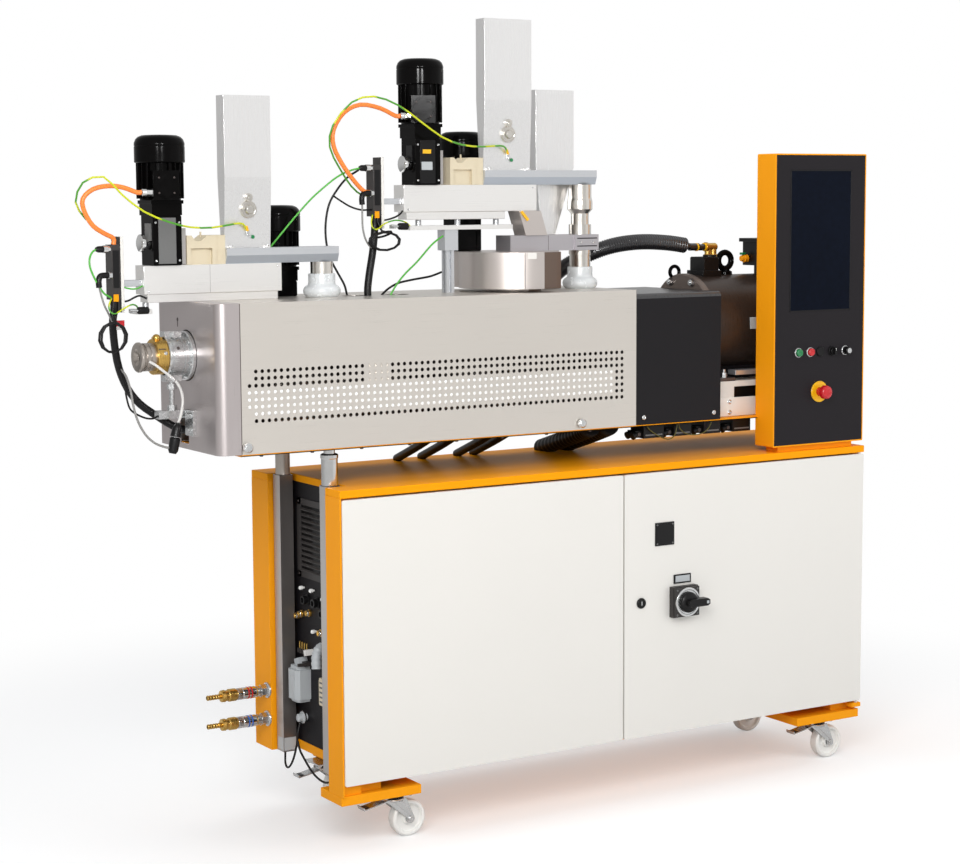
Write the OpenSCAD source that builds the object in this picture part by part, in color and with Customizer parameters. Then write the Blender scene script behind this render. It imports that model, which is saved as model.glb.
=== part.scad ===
// Laboratory twin-screw plastic extruder on a wheeled cabinet, with two hopper feeders.
// Millimetres, +Z up. Sizes are measured from the cabinet's front left corner on the floor,
// and every piece is then moved so that the origin lies under the middle of the machine.

/* [Cabinet] */
// Length of the cabinet
cab_l = 1780; // [1500:10:2200]
// Depth of the cabinet
cab_d = 520; // [480:5:650]
// Height of the cabinet's top face above the floor
cab_top = 960; // [900:5:1050]
// Thickness of the folded top
top_t = 20; // [16:1:30]
// Thickness of the folded front panel and door
panel_t = 20; // [16:1:30]
// Sheet thickness of the folded panels
sheet_t = 2; // [1.5:0.5:4]
// Height of the panels' lower edge above the floor
panel_bottom = 181; // [175:1:220]
// Where the fixed panel ends and the door begins
door_split = 895; // [700:5:1100]
// Gap round the door
door_gap = 5; // [5:0.5:8]
// Corner radius of the white panels
panel_r = 6; // [3:1:12]
// Width of the left end posts along the machine
post_w = 63; // [55:1:90]
// Depth of the front post
post_front_d = 82; // [70:1:110]
// Depth of the back post
post_back_d = 100; // [80:1:130]
// Thickness of the right end panel
end_t = 20; // [15:1:30]
// Thickness of the floor plate
floor_t = 8; // [5:1:15]

/* [Undercarriage] */
// Height of the caster's mounting plate above the floor
caster_h = 127; // [120:1:140]
// Height of the beams that carry the casters
beam_h = 25; // [20:1:26]
// Length of the caster beams along the machine
beam_l = 240; // [230:5:300]
// Wheel diameter
wheel_dia = 100; // [80:1:105]
// Wheel width
wheel_w = 32; // [25:1:40]
// Trail of the wheel behind the swivel
caster_trail = 43; // [35:1:50]
// Swivel distance from the left end
caster_left = 185; // [160:1:190]
// Swivel distance from the right end
caster_right = 120; // [90:1:180]
// Swivel distance from the front and the back
caster_side = 70; // [60:1:90]

/* [Barrel cover] */
// Left end of the barrel cover
cover_x0 = -302; // [-400:1:-200]
// Right end of the barrel cover
cover_x1 = 985; // [900:1:1100]
// Front face of the cover
cover_y0 = 69; // [40:1:90]
// Underside of the cover
cover_z0 = 1063; // [1040:1:1090]
// Height of the cover
cover_h = 383; // [330:1:420]
// Length of the end cap along the machine
cap_l = 62; // [50:1:90]
// Outside radius of the end cap's upright corners
cap_r = 25; // [15:1:35]
// Diameter of a perforation
perf_dia = 10; // [6:0.5:12]
// Pitch of the perforations
perf_pitch = 18; // [16:0.5:24]
// Columns of perforations
perf_cols = 64; // [10:1:66]
// Rows of perforations
perf_rows = 8; // [2:1:10]
// First column's distance from the left end of the front sheet
perf_x = 42; // [20:1:60]
// First row's height above the cover's underside
perf_z = 84; // [60:1:120]
// Thickness of the base plate under the cover
base_t = 6; // [4:1:12]

/* [Drive] */
// Height of the screw axis above the floor
axis_z = 1307; // [1280:1:1330]
// Right end of the gear cover
gear_x1 = 1287; // [1200:1:1350]
// Height of the gear cover
gear_h = 371; // [330:1:400]
// Bevel along the gear cover's top edges
gear_bevel = 9; // [4:1:20]
// Height of the motor axis above the floor
motor_z = 1329; // [1300:1:1345]
// Diameter of the motor frame
motor_dia = 288; // [240:1:300]
// Diameter of the motor flange
flange_dia = 300; // [290:1:320]
// Thickness of the motor flange
flange_t = 24; // [15:1:40]
// Right end of the motor
motor_x1 = 1760; // [1700:5:1770]

/* [Die] */
// Length that the die reaches past the cover
die_reach = 138; // [120:1:170]
// Radius of the die outlet
die_bore_r = 9; // [5:0.5:12]
// Diameter of the die nose
nose_dia = 72; // [60:1:74]
// Diameter of the clamp ring
clamp_dia = 104; // [100:1:120]
// Diameter of the heater band
band_dia = 92; // [75:1:98]

/* [Control panel] */
// Left side of the control panel
hmi_x0 = 1427; // [1350:1:1430]
// Width of the control panel
hmi_w = 345; // [320:1:350]
// Depth of the control panel
hmi_d = 82; // [70:1:100]
// Lower edge of the control panel above the cabinet's top
hmi_lift = 16; // [10:1:30]
// Height of the control panel
hmi_h = 851; // [800:1:900]
// Rim of the housing round the face
hmi_rim = 4; // [3:0.5:8]
// Width of the screen
screen_w = 231; // [200:1:260]
// Height of the screen
screen_h = 410; // [380:1:430]
// Distance from the top of the panel to the screen
screen_drop = 47; // [30:1:60]
// Diameter of a button's bezel
bezel_dia = 29; // [25:0.5:32]
// Diameter of the emergency stop's head
estop_dia = 40; // [35:1:45]

/* [Feeders] */
// Centre plane of both feeders and the barrel, from the cabinet's front
centre_y = 260; // [250:1:270]
// Depth of the feeder housings
housing_d = 56; // [50:1:70]
// Height of the feeder housings
housing_h = 73; // [65:1:80]
// Depth of the hoppers
hopper_d = 45; // [40:1:60]
// Depth of the hoppers at their outlet
hopper_out_d = 20; // [15:1:28]
// Wall of the hoppers
hopper_wall = 2; // [1.5:0.5:3]
// Height of the trough beams
trough_h = 40; // [36:1:46]
// Depth of the trough beams
trough_d = 60; // [56:1:70]
// Diameter of the feeder motors' cowls
fm_dia = 128; // [110:1:130]
// Outside diameter of the down-pipes
pipe_dia = 60; // [50:1:62]
// Wall of the down-pipes
pipe_wall = 3; // [2:0.5:5]

/* [Hidden] */
$fn = 64;

// One overrun for all cuts, and the clearance of parts that slide or turn in each other
cut = 1;
slip = 0.4;
seat = 0.3;

// Heights that follow from the driving sizes
beam_top = caster_h + beam_h;
top_bottom = cab_top - top_t;
panel_top = top_bottom - door_gap;
floor_z = panel_bottom - floor_t;
cover_top = cover_z0 + cover_h;
cover_y1 = cab_d - cover_y0;
cover_d = cover_y1 - cover_y0;
base_z = cover_z0 - base_t;

// Door pivot, in the middle of the door's thickness
pivot_in = 12;
pivot_x = cab_l - pivot_in;
pivot_y = panel_t / 2;
pivot_dia = 10;
pivot_l = 11;
end_gap = 10;
door_edge = 2;
lug_l = 34;
lug_t = 12;

// Main switch on the door
switch_x = 1098;
switch_z = 560;
switch_size = 88;
switch_base_h = 27;
switch_ring_dia = 84;
switch_ring_h = 4;
grip_l = 50;
grip_tail = 7;
grip_w = 22;
grip_h = 18;
grip_hub_dia = 60;
grip_hub_h = 10;
front_reach = switch_base_h + switch_ring_h + slip + grip_hub_h + grip_h;

// Controllers on the feeders' left ends
ctrl_gap = [52, 59];
ctrl_plate_t = 8;
ctrl_plate_d = 46;
ctrl_t = 24;
ctrl_d = 40;
ctrl_h = 138;
ctrl_plate_h = 190;
ctrl_drop = 116;
ctrl_inset = 32;
arm_h = 16;
arm_d = 30;
arm_drop = 52;

// Feeder places: [left feeder, right feeder]
housing_x = [-426, 330];
housing_l = [386, 428];
housing_top = [1540, 1741];
lower_h = 21;
lower_inset = 10;
lower_side = 4;
lower_short = [10, 103];
hopper_x = [-196, 591];
hopper_w = [132, 154];
hopper_h = [391, 414];
hopper_lean = 10;
kink_share = 0.465;
trough_x = [-197, 586];
trough_l = [326, 376];
pipe_x = [92, 924];
fm_x = [-365, 399];
clamp_l = 110;
clamp_h = 74;
clamp_d = 56;

// Frame origin under the middle of the machine, cords left out
part_left = housing_x[0] - ctrl_gap[0] - ctrl_plate_t - ctrl_t;
frame_x = (part_left + cab_l) / 2;
frame_y = (cab_d - front_reach) / 2;

// Colours
orange = "#f5a21b";
white = "#edece8";
black = "#1b1a1a";
charcoal = "#2e2a2d";
steel = "#c9c5bd";
alu = "#b9c0c6";
brass = "#b8893b";
chrome = "#d5d5d3";
beige = "#d8cbb0";

// Moves everything from the cabinet's corner to the part's own origin
module placed() {
    translate([-frame_x, -frame_y, 0]) children();
}

// Box given by its lowest corner and its size
module box(at, size) {
    translate(at) cube(size);
}

// Cylinder along X, from its left end
module rod_x(at, dia, l) {
    translate(at) rotate([0, 90, 0]) cylinder(d = dia, h = l);
}

// Cylinder along Y, from its front end
module rod_y(at, dia, l) {
    translate(at) rotate([-90, 0, 0]) cylinder(d = dia, h = l);
}

// Upright cylinder
module rod_z(at, dia, l) {
    translate(at) cylinder(d = dia, h = l);
}

// Rectangle with round corners, from its lower left corner
module round_rect(w, h, r) {
    translate([r, 0]) square([w - 2 * r, h]);
    translate([0, r]) square([w, h - 2 * r]);
    for (x = [r, w - r], y = [r, h - r])
        translate([x, y]) circle(r);
}

// Upright plate with round corners: front face at y, thickness towards the back
module upright_plate(at, w, h, t, r) {
    translate([at[0], at[1] + t, at[2]]) rotate([90, 0, 0]) linear_extrude(t) round_rect(w, h, r);
}

// Folded sheet panel, open at the back
module folded_panel(x0, x1) {
    w = x1 - x0;
    h = panel_top - panel_bottom;
    difference() {
        upright_plate([x0, 0, panel_bottom], w, h, panel_t, panel_r);
        box([x0 + sheet_t, sheet_t, panel_bottom + sheet_t],
            [w - 2 * sheet_t, panel_t, h - 2 * sheet_t]);
    }
}

/* Undercarriage */

beam_side = 10;
step_l = 70;
step_d = 90;
swivel_x = [caster_left, cab_l - caster_right];
swivel_y = [caster_side, cab_d - caster_side];
plate_l = 94;
plate_w = 80;
plate_t = 5;
race_dia = 62;
race_h = 8;
kingpin_dia = 14;
fork_gap = 3;
fork_t = 4;
fork_w = 46;
crown_dia = 64;
axle_dia = 12;
pedal_l = 62;
pedal_w = 36;
pedal_t = 4;
pedal_tilt = 12;
tread_r = 5;
web_w = 12;
hub_dia = 34;
rim_t = 12;

// Two beams across the ends, each with the two blocks that meet the cabinet
module caster_beams() {
    color(orange) placed()
        for (right = [0, 1]) {
            x = right ? cab_l - beam_l : 0;
            sx = right ? cab_l - end_t - step_l : post_w;
            box([x, beam_side, caster_h], [beam_l, cab_d - 2 * beam_side, beam_h]);
            for (y = [panel_t + end_gap + door_gap, cab_d - panel_t - step_d])
                box([sx, y, beam_top - cut], [step_l, step_d, floor_z - beam_top + cut]);
        }
}

module cabinet_floor() {
    color(orange) placed()
        box([post_w, panel_t + end_gap, floor_z],
            [cab_l - post_w - end_t, cab_d - 2 * panel_t - end_gap, floor_t]);
}

// Mounting plate with the upper half of the swivel race, at one corner
module caster_plate(x, y) {
    box([x - plate_l / 2, y - plate_w / 2, caster_h - plate_t], [plate_l, plate_w, plate_t]);
    rod_z([x, y, caster_h - plate_t - race_h], race_dia, race_h);
}

module caster_plates() {
    color(chrome) placed()
        for (x = swivel_x, y = swivel_y)
            caster_plate(x, y);
}

// Fork of one caster with its axle and brake pedal, wheel trailing to the right
module caster_fork(x, y) {
    crown_z = caster_h - plate_t - race_h - fork_gap;
    wheel_z = wheel_dia / 2;
    wheel_x = x + caster_trail;
    color(chrome) placed() {
        rod_z([x, y, crown_z - fork_t], crown_dia, fork_t);
        rod_z([x, y, crown_z - cut], kingpin_dia, fork_gap - seat + cut);
        for (side = [-1, 1])
            translate([0, y + side * (fork_w - fork_t) / 2 + fork_t / 2, 0]) rotate([90, 0, 0])
                linear_extrude(fork_t) {
                    polygon([[x - crown_dia / 2, crown_z - fork_t], [x - crown_dia / 2, crown_z],
                             [x + crown_dia / 2, crown_z], [wheel_x + axle_dia, wheel_z],
                             [wheel_x - axle_dia, wheel_z]]);
                    translate([wheel_x, wheel_z]) circle(axle_dia);
                }
        rod_y([wheel_x, y - fork_w / 2, wheel_z], axle_dia, fork_w);
        translate([x - crown_dia / 2, y - pedal_w / 2, crown_z - fork_t - pedal_t])
            rotate([0, -pedal_tilt, 0]) translate([-pedal_l, 0, 0])
                cube([pedal_l + fork_t, pedal_w, pedal_t]);
        box([x - crown_dia / 2, y - fork_w / 2, crown_z - fork_t - pedal_t],
            [fork_t, fork_w, pedal_t + fork_t]);
    }
}

// Nylon wheel with a dished web, turned about its axle
module caster_wheel(x, y) {
    r = wheel_dia / 2;
    bore_r = axle_dia / 2 + slip;
    color("#f1f0ec") placed() translate([x + caster_trail, y, r]) rotate([90, 0, 0]) rotate_extrude()
        polygon([[bore_r, -wheel_w / 2], [hub_dia / 2, -wheel_w / 2], [hub_dia / 2, -web_w / 2],
                 [r - rim_t, -web_w / 2], [r - rim_t, -wheel_w / 2], [r - tread_r, -wheel_w / 2],
                 [r, tread_r - wheel_w / 2], [r, wheel_w / 2 - tread_r], [r - tread_r, wheel_w / 2],
                 [r - rim_t, wheel_w / 2], [r - rim_t, web_w / 2], [hub_dia / 2, web_w / 2],
                 [hub_dia / 2, wheel_w / 2], [bore_r, wheel_w / 2]]);
}

module caster_fork_fl() { caster_fork(swivel_x[0], swivel_y[0]); }
module caster_fork_fr() { caster_fork(swivel_x[1], swivel_y[0]); }
module caster_fork_bl() { caster_fork(swivel_x[0], swivel_y[1]); }
module caster_fork_br() { caster_fork(swivel_x[1], swivel_y[1]); }
module caster_wheel_fl() { caster_wheel(swivel_x[0], swivel_y[0]); }
module caster_wheel_fr() { caster_wheel(swivel_x[1], swivel_y[0]); }
module caster_wheel_bl() { caster_wheel(swivel_x[0], swivel_y[1]); }
module caster_wheel_br() { caster_wheel(swivel_x[1], swivel_y[1]); }

/* Cabinet */

lip_t = 4;
front_gap = 2;

// Left end posts with the front lip, and the right end panel with the door's lower hinge lug
module cabinet_ends() {
    h = top_bottom - beam_top;
    back_y = cab_d - post_back_d;
    color(orange) placed() {
        box([0, panel_t, beam_top], [post_w, post_front_d - panel_t, h]);
        box([0, 0, beam_top], [lip_t, panel_t + cut, h]);
        box([0, back_y, beam_top], [post_w, post_back_d, h]);
        difference() {
            union() {
                box([cab_l - end_t, panel_t + end_gap, beam_top],
                    [end_t, cab_d - panel_t - end_gap, h]);
                box([cab_l - lug_l, 0, floor_z - lug_t], [lug_l, panel_t + end_gap + cut, lug_t]);
            }
            rod_z([pivot_x, pivot_y, floor_z - lug_t - cut], pivot_dia + 2 * slip, lug_t + 2 * cut);
        }
    }
}

// Fixed white panel on the front and the white back panel
module fixed_panels() {
    color(white) placed() {
        folded_panel(lip_t + front_gap, door_split - door_gap / 2);
        box([post_w, cab_d - panel_t, floor_z],
            [cab_l - post_w - end_t, panel_t, top_bottom - floor_z]);
    }
}

recess_y0 = post_front_d;
recess_y1 = cab_d - post_back_d;

// Folded top with the notch for the support columns and the door's upper pivot hole
module cabinet_top() {
    color(orange) placed() difference() {
        box([0, 0, top_bottom], [cab_l, cab_d, top_t]);
        box([-cut, recess_y0, top_bottom - cut], [post_w + cut, recess_y1 - recess_y0, top_t + 2 * cut]);
        rod_z([pivot_x, pivot_y, top_bottom - cut], pivot_dia + 2 * slip, pivot_l + cut);
    }
}

// Black plate behind the recess, with a louvred vent in its upper half
conn_t = 6;
vent_front = 64;
vent_back = 60;
vent_y0 = recess_y0 + vent_front;
vent_w = recess_y1 - vent_back - vent_y0;
vent_z0 = 585;
vent_pitch = 30;
vent_slot = 16;
vent_n = 11;
blade_t = 2;
blade_w = 20;
blade_tilt = 40;

module connector_panel() {
    color(black) placed() {
        difference() {
            box([post_w, recess_y0, panel_bottom],
                [conn_t, recess_y1 - recess_y0, top_bottom - panel_bottom]);
            for (i = [0 : vent_n - 1])
                box([post_w - cut, vent_y0, vent_z0 + i * vent_pitch],
                    [conn_t + 2 * cut, vent_w, vent_slot]);
        }
        for (i = [0 : vent_n - 1])
            translate([post_w + conn_t / 2, vent_y0 - cut, vent_z0 + i * vent_pitch + vent_slot])
                rotate([0, -blade_tilt, 0]) translate([-blade_w, 0, -blade_t])
                    cube([blade_w + blade_t, vent_w + 2 * cut, blade_t]);
    }
}

// Grey connector hoods and round sockets on the plate
hood_w = 58;
hood_h = 92;
hood_d = 42;
hood_r = 8;
sock_dia = 24;
sock_l = 20;
sock_pitch = 44;
hood_in = 120;
hood_y = recess_y1 - hood_in;
hood_z = 345;
plug_in = 188;
plug_y = recess_y1 - plug_in;
plug_w = 44;
plug_z = 300;
plug_h = 150;
plug_d = 30;
sock_z = 500;
sock_in = 190;
sock_y = recess_y1 - sock_in;

module recess_connectors() {
    color("#8d9296") placed() {
        translate([post_w - hood_d, hood_y + hood_w, hood_z]) rotate([90, 0, -90]) mirror([0, 0, 1])
            linear_extrude(hood_d) round_rect(hood_w, hood_h, hood_r);
        box([post_w - plug_d, plug_y, plug_z], [plug_d, plug_w, plug_h]);
        for (i = [0, 1], j = [0, 1])
            rod_x([post_w - sock_l, sock_y + j * sock_pitch, sock_z + i * sock_pitch], sock_dia, sock_l);
    }
}

/* Supports between the cabinet and the process unit */

col_size = 40;
col_x = 33;
col_front = 36;
col_back = 28;
col_y = [recess_y0 + col_front, recess_y1 - col_back];
col_drop = 9;
tube_dia = [37, 34];
ram_dia = 21;
collar_dia = 48;
collar_h = 22;
ram_share = 0.5;

// Two square lifting columns in the recess, each with its round tube and ram
module support_columns() {
    color(chrome) placed()
        for (i = [0, 1]) {
            z0 = panel_bottom - col_drop;
            box([col_x - col_size / 2, col_y[i] - col_size / 2, z0], [col_size, col_size, top_bottom - z0]);
            h = base_z - top_bottom;
            mid = i == 0 ? top_bottom + h * ram_share : base_z;
            rod_z([col_x, col_y[i], top_bottom - cut], tube_dia[i], mid - top_bottom + cut);
            if (i == 0) {
                rod_z([col_x, col_y[i], mid - cut], ram_dia, base_z - mid + cut);
                rod_z([col_x, col_y[i], mid - collar_h], collar_dia, collar_h);
            }
        }
}

base_x0 = -240;
base_side = 2;

// Orange plate that carries the barrel, the gears and the motor
module base_plate() {
    color(orange) placed()
        difference() {
            box([base_x0, cover_y0 + base_side, base_z],
                [cab_l - base_x0, cover_d - 2 * base_side, base_t]);
            box([hmi_x0 - door_gap, 0, base_z - cut],
                [cab_l, hmi_d + door_gap, base_t + 2 * cut]);
        }
}

// Black blocks and sleeves that bring power and signals up through the gap
block_x = [1000, 1132, 1264, 1500];
block_l = 112;
block_in = 27;
block_y = cover_y0 + block_in;
block_d = 84;
sleeve_x = [400, 480, 600, 655];
sleeve_dia = 24;
sleeve_in = 146;
sleeve_y = cover_y0 + sleeve_in;
trunk_x = [890, 955];
trunk_dia = 50;
trunk_in = 81;
trunk_y = cover_y0 + trunk_in;

module base_connectors() {
    h = base_z - cab_top;
    color(black) placed() {
        for (x = block_x)
            box([x, block_y, cab_top], [block_l, block_d, h]);
        for (x = sleeve_x)
            rod_z([x, sleeve_y, cab_top], sleeve_dia, h);
        for (x = trunk_x)
            rod_z([x, trunk_y, cab_top], trunk_dia, h);
    }
}

/* Barrel and its cover */

front_x0 = cover_x0 + cap_l;
die_hole_dia = 132;
port_dia = 70;
top_port_x = [190, 320, 560];
long_rows = [2, 5];
liner_t = 1.5;
liner_rows = [1, 4];
liner_end_cols = 2;
liner_share = 0.45;
plate_col = 18;
plate_cols = 4;
slot_y = -4;
slot_w = 52;
slot_z0 = 15;
slot_h = 88;

// Front sheet with its field of round perforations
module cover_front() {
    w = cover_x1 - front_x0;
    color(steel) placed()
        translate([front_x0, cover_y0 + sheet_t, cover_z0]) rotate([90, 0, 0]) linear_extrude(sheet_t)
            difference() {
                square([w, cover_h]);
                for (j = [0 : perf_rows - 1])
                    for (i = [j >= long_rows[0] && j <= long_rows[1] ? -1 : 0 : perf_cols - 1])
                        translate([perf_x + i * perf_pitch, perf_z + j * perf_pitch]) circle(d = perf_dia);
            }
}

// Liner on the inside of the front sheet: a band behind the middle rows and an upright in it
module cover_liner() {
    y0 = cover_y0 + sheet_t;
    x0 = front_x0 + perf_x;
    z0 = cover_z0 + perf_z;
    low = z0 + (liner_rows[0] - liner_share) * perf_pitch;
    band_h = (liner_rows[1] - liner_rows[0] + 2 * liner_share) * perf_pitch;
    box([x0 - perf_pitch - perf_dia, y0, low],
        [(perf_cols - liner_end_cols + 1) * perf_pitch, liner_t, band_h]);
    box([x0 + (plate_col - liner_share) * perf_pitch, y0, low],
        [plate_cols * perf_pitch, liner_t, (perf_rows - liner_rows[0] + liner_share) * perf_pitch]);
}

// Top, back and right end of the cover, with the openings in its top
module cover_shell() {
    y0 = cover_y0 + sheet_t;
    color(steel) placed() difference() {
        union() {
            box([front_x0, y0, cover_top - sheet_t], [cover_x1 - front_x0, cover_y1 - y0, sheet_t]);
            box([front_x0, cover_y1 - sheet_t, cover_z0], [cover_x1 - front_x0, sheet_t, cover_h]);
            box([cover_x1 - sheet_t, y0, cover_z0], [sheet_t, cover_y1 - y0, cover_h]);
        }
        for (x = concat(pipe_x, top_port_x))
            rod_z([x, centre_y, cover_top - sheet_t - cut], port_dia, sheet_t + 2 * cut);
    }
    color(steel) placed() cover_liner();
}

// Plan of the end cap: a channel with round corners
module cap_plan(inset) {
    r = cap_r - inset;
    d = cover_d - 2 * inset;
    translate([inset, inset]) {
        translate([r, 0]) square([cap_l - r - inset, d]);
        translate([0, r]) square([cap_l - inset, d - 2 * r]);
        for (y = [r, d - r])
            translate([r, y]) circle(r);
    }
}

// End cap with the hole that the die passes through and the slot for the cables below it
module cover_end_cap() {
    color(steel) placed() difference() {
        translate([cover_x0, cover_y0, cover_z0]) linear_extrude(cover_h) cap_plan(0);
        translate([cover_x0, cover_y0, cover_z0 - cut]) linear_extrude(cover_h - sheet_t + cut)
            union() {
                cap_plan(sheet_t);
                translate([cap_l - sheet_t - cut, sheet_t])
                    square([sheet_t + 2 * cut, cover_d - 2 * sheet_t]);
            }
        rod_x([cover_x0 - cut, centre_y, axis_z], die_hole_dia, sheet_t + 2 * cut);
        box([cover_x0 - cut, centre_y + slot_y, cover_z0 + slot_z0], [sheet_t + 2 * cut, slot_w, slot_h]);
    }
}

barrel_size = 130;
barrel_gap = 6;
foot_x = [-150, 380, 880];
foot_l = 60;
foot_d = 100;

// Square barrel blocks on their feet, seen through the perforations
module barrel() {
    z0 = axis_z - barrel_size / 2;
    color("#5a5552") placed() {
        box([cover_x0 + sheet_t + barrel_gap, centre_y - barrel_size / 2, z0],
            [cover_x1 - cover_x0 - 2 * sheet_t - 2 * barrel_gap, barrel_size, barrel_size]);
        for (x = foot_x)
            box([x, centre_y - foot_d / 2, cover_z0], [foot_l, foot_d, z0 - cover_z0 + cut]);
    }
}

/* Drive */

gear_gap = 1;

// Black gear cover with bevelled top edges
module gear_cover() {
    w = cover_d;
    b = gear_bevel;
    color(black) placed() translate([cover_x1 + gear_gap, cover_y0, cover_z0]) rotate([90, 0, 90])
        linear_extrude(gear_x1 - cover_x1 - gear_gap)
            polygon([[0, 0], [w, 0], [w, gear_h - b], [w - b, gear_h], [b, gear_h], [0, gear_h - b]]);
}

motor_step = 10;
cowl_l = 90;
cowl_dia = 270;
tbox_l = 150;
tbox_d = 120;
tbox_h = 52;
tbox_x = 1390;
rbox_x = 1540;
rbox_l = 170;
rbox_h = 110;
rbox_d = 110;
tbox_sink = 30;
eye_dia = 44;
eye_rod = 12;
eye_x = [1304, 1480];

// Main motor: flange, frame, fan cowl, connection boxes and lifting eyes
module main_motor() {
    top_z = motor_z + motor_dia / 2;
    x0 = gear_x1;
    color(black) placed() {
        rod_x([x0, centre_y, motor_z], flange_dia, flange_t);
        rod_x([x0 + flange_t - cut, centre_y, motor_z], motor_dia, motor_x1 - cowl_l - x0 - flange_t + cut);
        rod_x([motor_x1 - cowl_l - cut, centre_y, motor_z], cowl_dia, cowl_l + cut);
        box([tbox_x, centre_y - tbox_d / 2, top_z - tbox_sink], [tbox_l, tbox_d, tbox_h + tbox_sink]);
        box([rbox_x, centre_y - rbox_d / 2, top_z - tbox_sink], [rbox_l, rbox_d, rbox_h + tbox_sink]);
        for (x = eye_x)
            translate([x, centre_y - tbox_d / 2 - eye_dia / 2, top_z - motor_step]) rotate([0, 90, 0])
                rotate_extrude() translate([eye_dia / 2, 0]) circle(d = eye_rod);
    }
}

mbase_h = 104;
mbase_x0 = 1300;
mbase_l = 440;
mbase_d = 300;
saddle_d = 150;
foot_t = 34;
window_l = 150;
window_h = 46;
window_x = 70;
window_t = 20;

// Cast motor base with feet and a window, and a saddle that the motor lies in
module motor_base() {
    saddle_h = motor_z - motor_dia / 2 - cover_z0;
    color("#d9d6d0") placed() difference() {
        union() {
            box([mbase_x0, centre_y - mbase_d / 2, cover_z0], [mbase_l, mbase_d, mbase_h]);
            box([mbase_x0 + foot_t, centre_y - saddle_d / 2, cover_z0], [mbase_l - 2 * foot_t, saddle_d,
                saddle_h + tbox_sink]);
        }
        rod_x([mbase_x0 - cut, centre_y, motor_z], motor_dia + 2 * seat, mbase_l + 2 * cut);
        for (side = [0, 1])
            box([mbase_x0 + window_x, side ? centre_y + mbase_d / 2 - window_t : centre_y - mbase_d / 2 - cut,
                 cover_z0 + mbase_h - window_h - foot_t / 2], [window_l, window_t + cut, window_h]);
    }
}

/* Die */

die_flange_dia = 128;
die_flange_l = 20;
clamp_len = 46;
band_l = 30;
nose_front_dia = 77;
nose_front_l = 12;
nose_groove_dia = 64;
nose_groove_l = 5;
nose_round = 3;
stud_dia = 14;
lug_w = 30;
lug_h = 26;
lug_sink = 14;
lug_bolt_dia = 12;
lug_bolt_head = 8;
bar_x0 = -388;
bar_w = 30;
bar_t = 21;
bar_z = 1147;
bar_foot_w = 50;
bar_foot_h = 66;
bar_foot_t = 10;
bolt_nut_dia = 26;
bolt_nut_h = 13;

// Flange, clamp ring with its lugs and clamp bolts, and the bar and bolt that carry it
module die_clamp() {
    x1 = cover_x0 - die_flange_l;
    x2 = x1 - clamp_len;
    mid = (x1 + x2) / 2;
    ring_r = clamp_dia / 2;
    bar_top = bar_z + bar_t;
    color(chrome) placed() {
        difference() {
            union() {
                rod_x([x1, centre_y, axis_z], die_flange_dia - 2 * slip, die_flange_l + sheet_t + barrel_gap);
                rod_x([x2, centre_y, axis_z], clamp_dia, clamp_len + cut);
                for (z = [axis_z + ring_r - lug_sink, axis_z - ring_r + lug_sink - lug_h])
                    box([mid - clamp_len / 2, centre_y - lug_w / 2, z], [clamp_len, lug_w, lug_h]);
                rod_y([mid, centre_y - lug_w / 2 - lug_bolt_head, axis_z + ring_r], lug_bolt_dia,
                      lug_w + 2 * lug_bolt_head);
            }
            rod_x([x2 - cut, centre_y, axis_z], nose_dia + 2 * seat, clamp_len + cut);
        }
        rod_z([mid, centre_y, bar_top - cut], stud_dia, axis_z - ring_r - bar_top);
        rod_z([mid, centre_y, bar_top - cut], bolt_nut_dia, bolt_nut_h + cut, $fn = 6);
        box([bar_x0, centre_y - bar_w / 2, bar_z], [cover_x0 - bar_x0, bar_w, bar_t]);
        box([cover_x0 - bar_foot_t, centre_y + slot_y - bar_foot_w, bar_top - bar_foot_h],
            [bar_foot_t, bar_foot_w, bar_foot_h]);
    }
}

// Split heater band
band_split = 4;
module die_band() {
    x2 = cover_x0 - die_flange_l - clamp_len;
    color(brass) placed() difference() {
        rod_x([x2 - band_l, centre_y, axis_z], band_dia, band_l);
        rod_x([x2 - band_l - cut, centre_y, axis_z], nose_dia + 2 * seat, band_l + 2 * cut);
        box([x2 - band_l - cut, centre_y - band_split / 2, axis_z], [band_l + 2 * cut, band_split, band_dia]);
    }
}

// Nose turned from one profile: rounded front disc, groove, then the shank that the band grips
module die_nose() {
    x0 = cover_x0 - die_reach;
    l = die_reach - die_flange_l;
    r = nose_dia / 2;
    front_r = nose_front_dia / 2;
    groove_r = nose_groove_dia / 2;
    groove_end = nose_front_l + nose_groove_l;
    bore_l = l - clamp_len;
    color("#8f8a84") placed() translate([x0, centre_y, axis_z]) rotate([0, 90, 0]) rotate_extrude()
        polygon([[die_bore_r, 0], [front_r - nose_round, 0], [front_r, nose_round],
                 [front_r, nose_front_l - nose_round], [front_r - nose_round, nose_front_l],
                 [groove_r, nose_front_l], [groove_r, groove_end], [r, groove_end], [r, l], [0, l],
                 [0, bore_l], [die_bore_r, bore_l]]);
}

/* Control panel */

hmi_z0 = cab_top + hmi_lift;
face_t = 4;
foot_in = 30;
screen_side = (hmi_w - screen_w) / 2;
row_drop = 120;
row_z = hmi_z0 + hmi_h - screen_drop - screen_h - row_drop;
button_x = [1518, 1563, 1602, 1647, 1697];
bezel_h = 5;
cap_dia = 22;
cap_h = 7;
cap_travel = 4;
estop_x = 1600;
estop_drop = 118;
estop_z = row_z - estop_drop;
estop_disc_dia = 62;
estop_disc_h = 3;
estop_neck_dia = 26;
estop_neck_h = 16;
estop_head_h = 22;
knob_dia = 24;
knob_h = 18;
lever_w = 8;
lever_h = 8;
well = 8;

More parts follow.
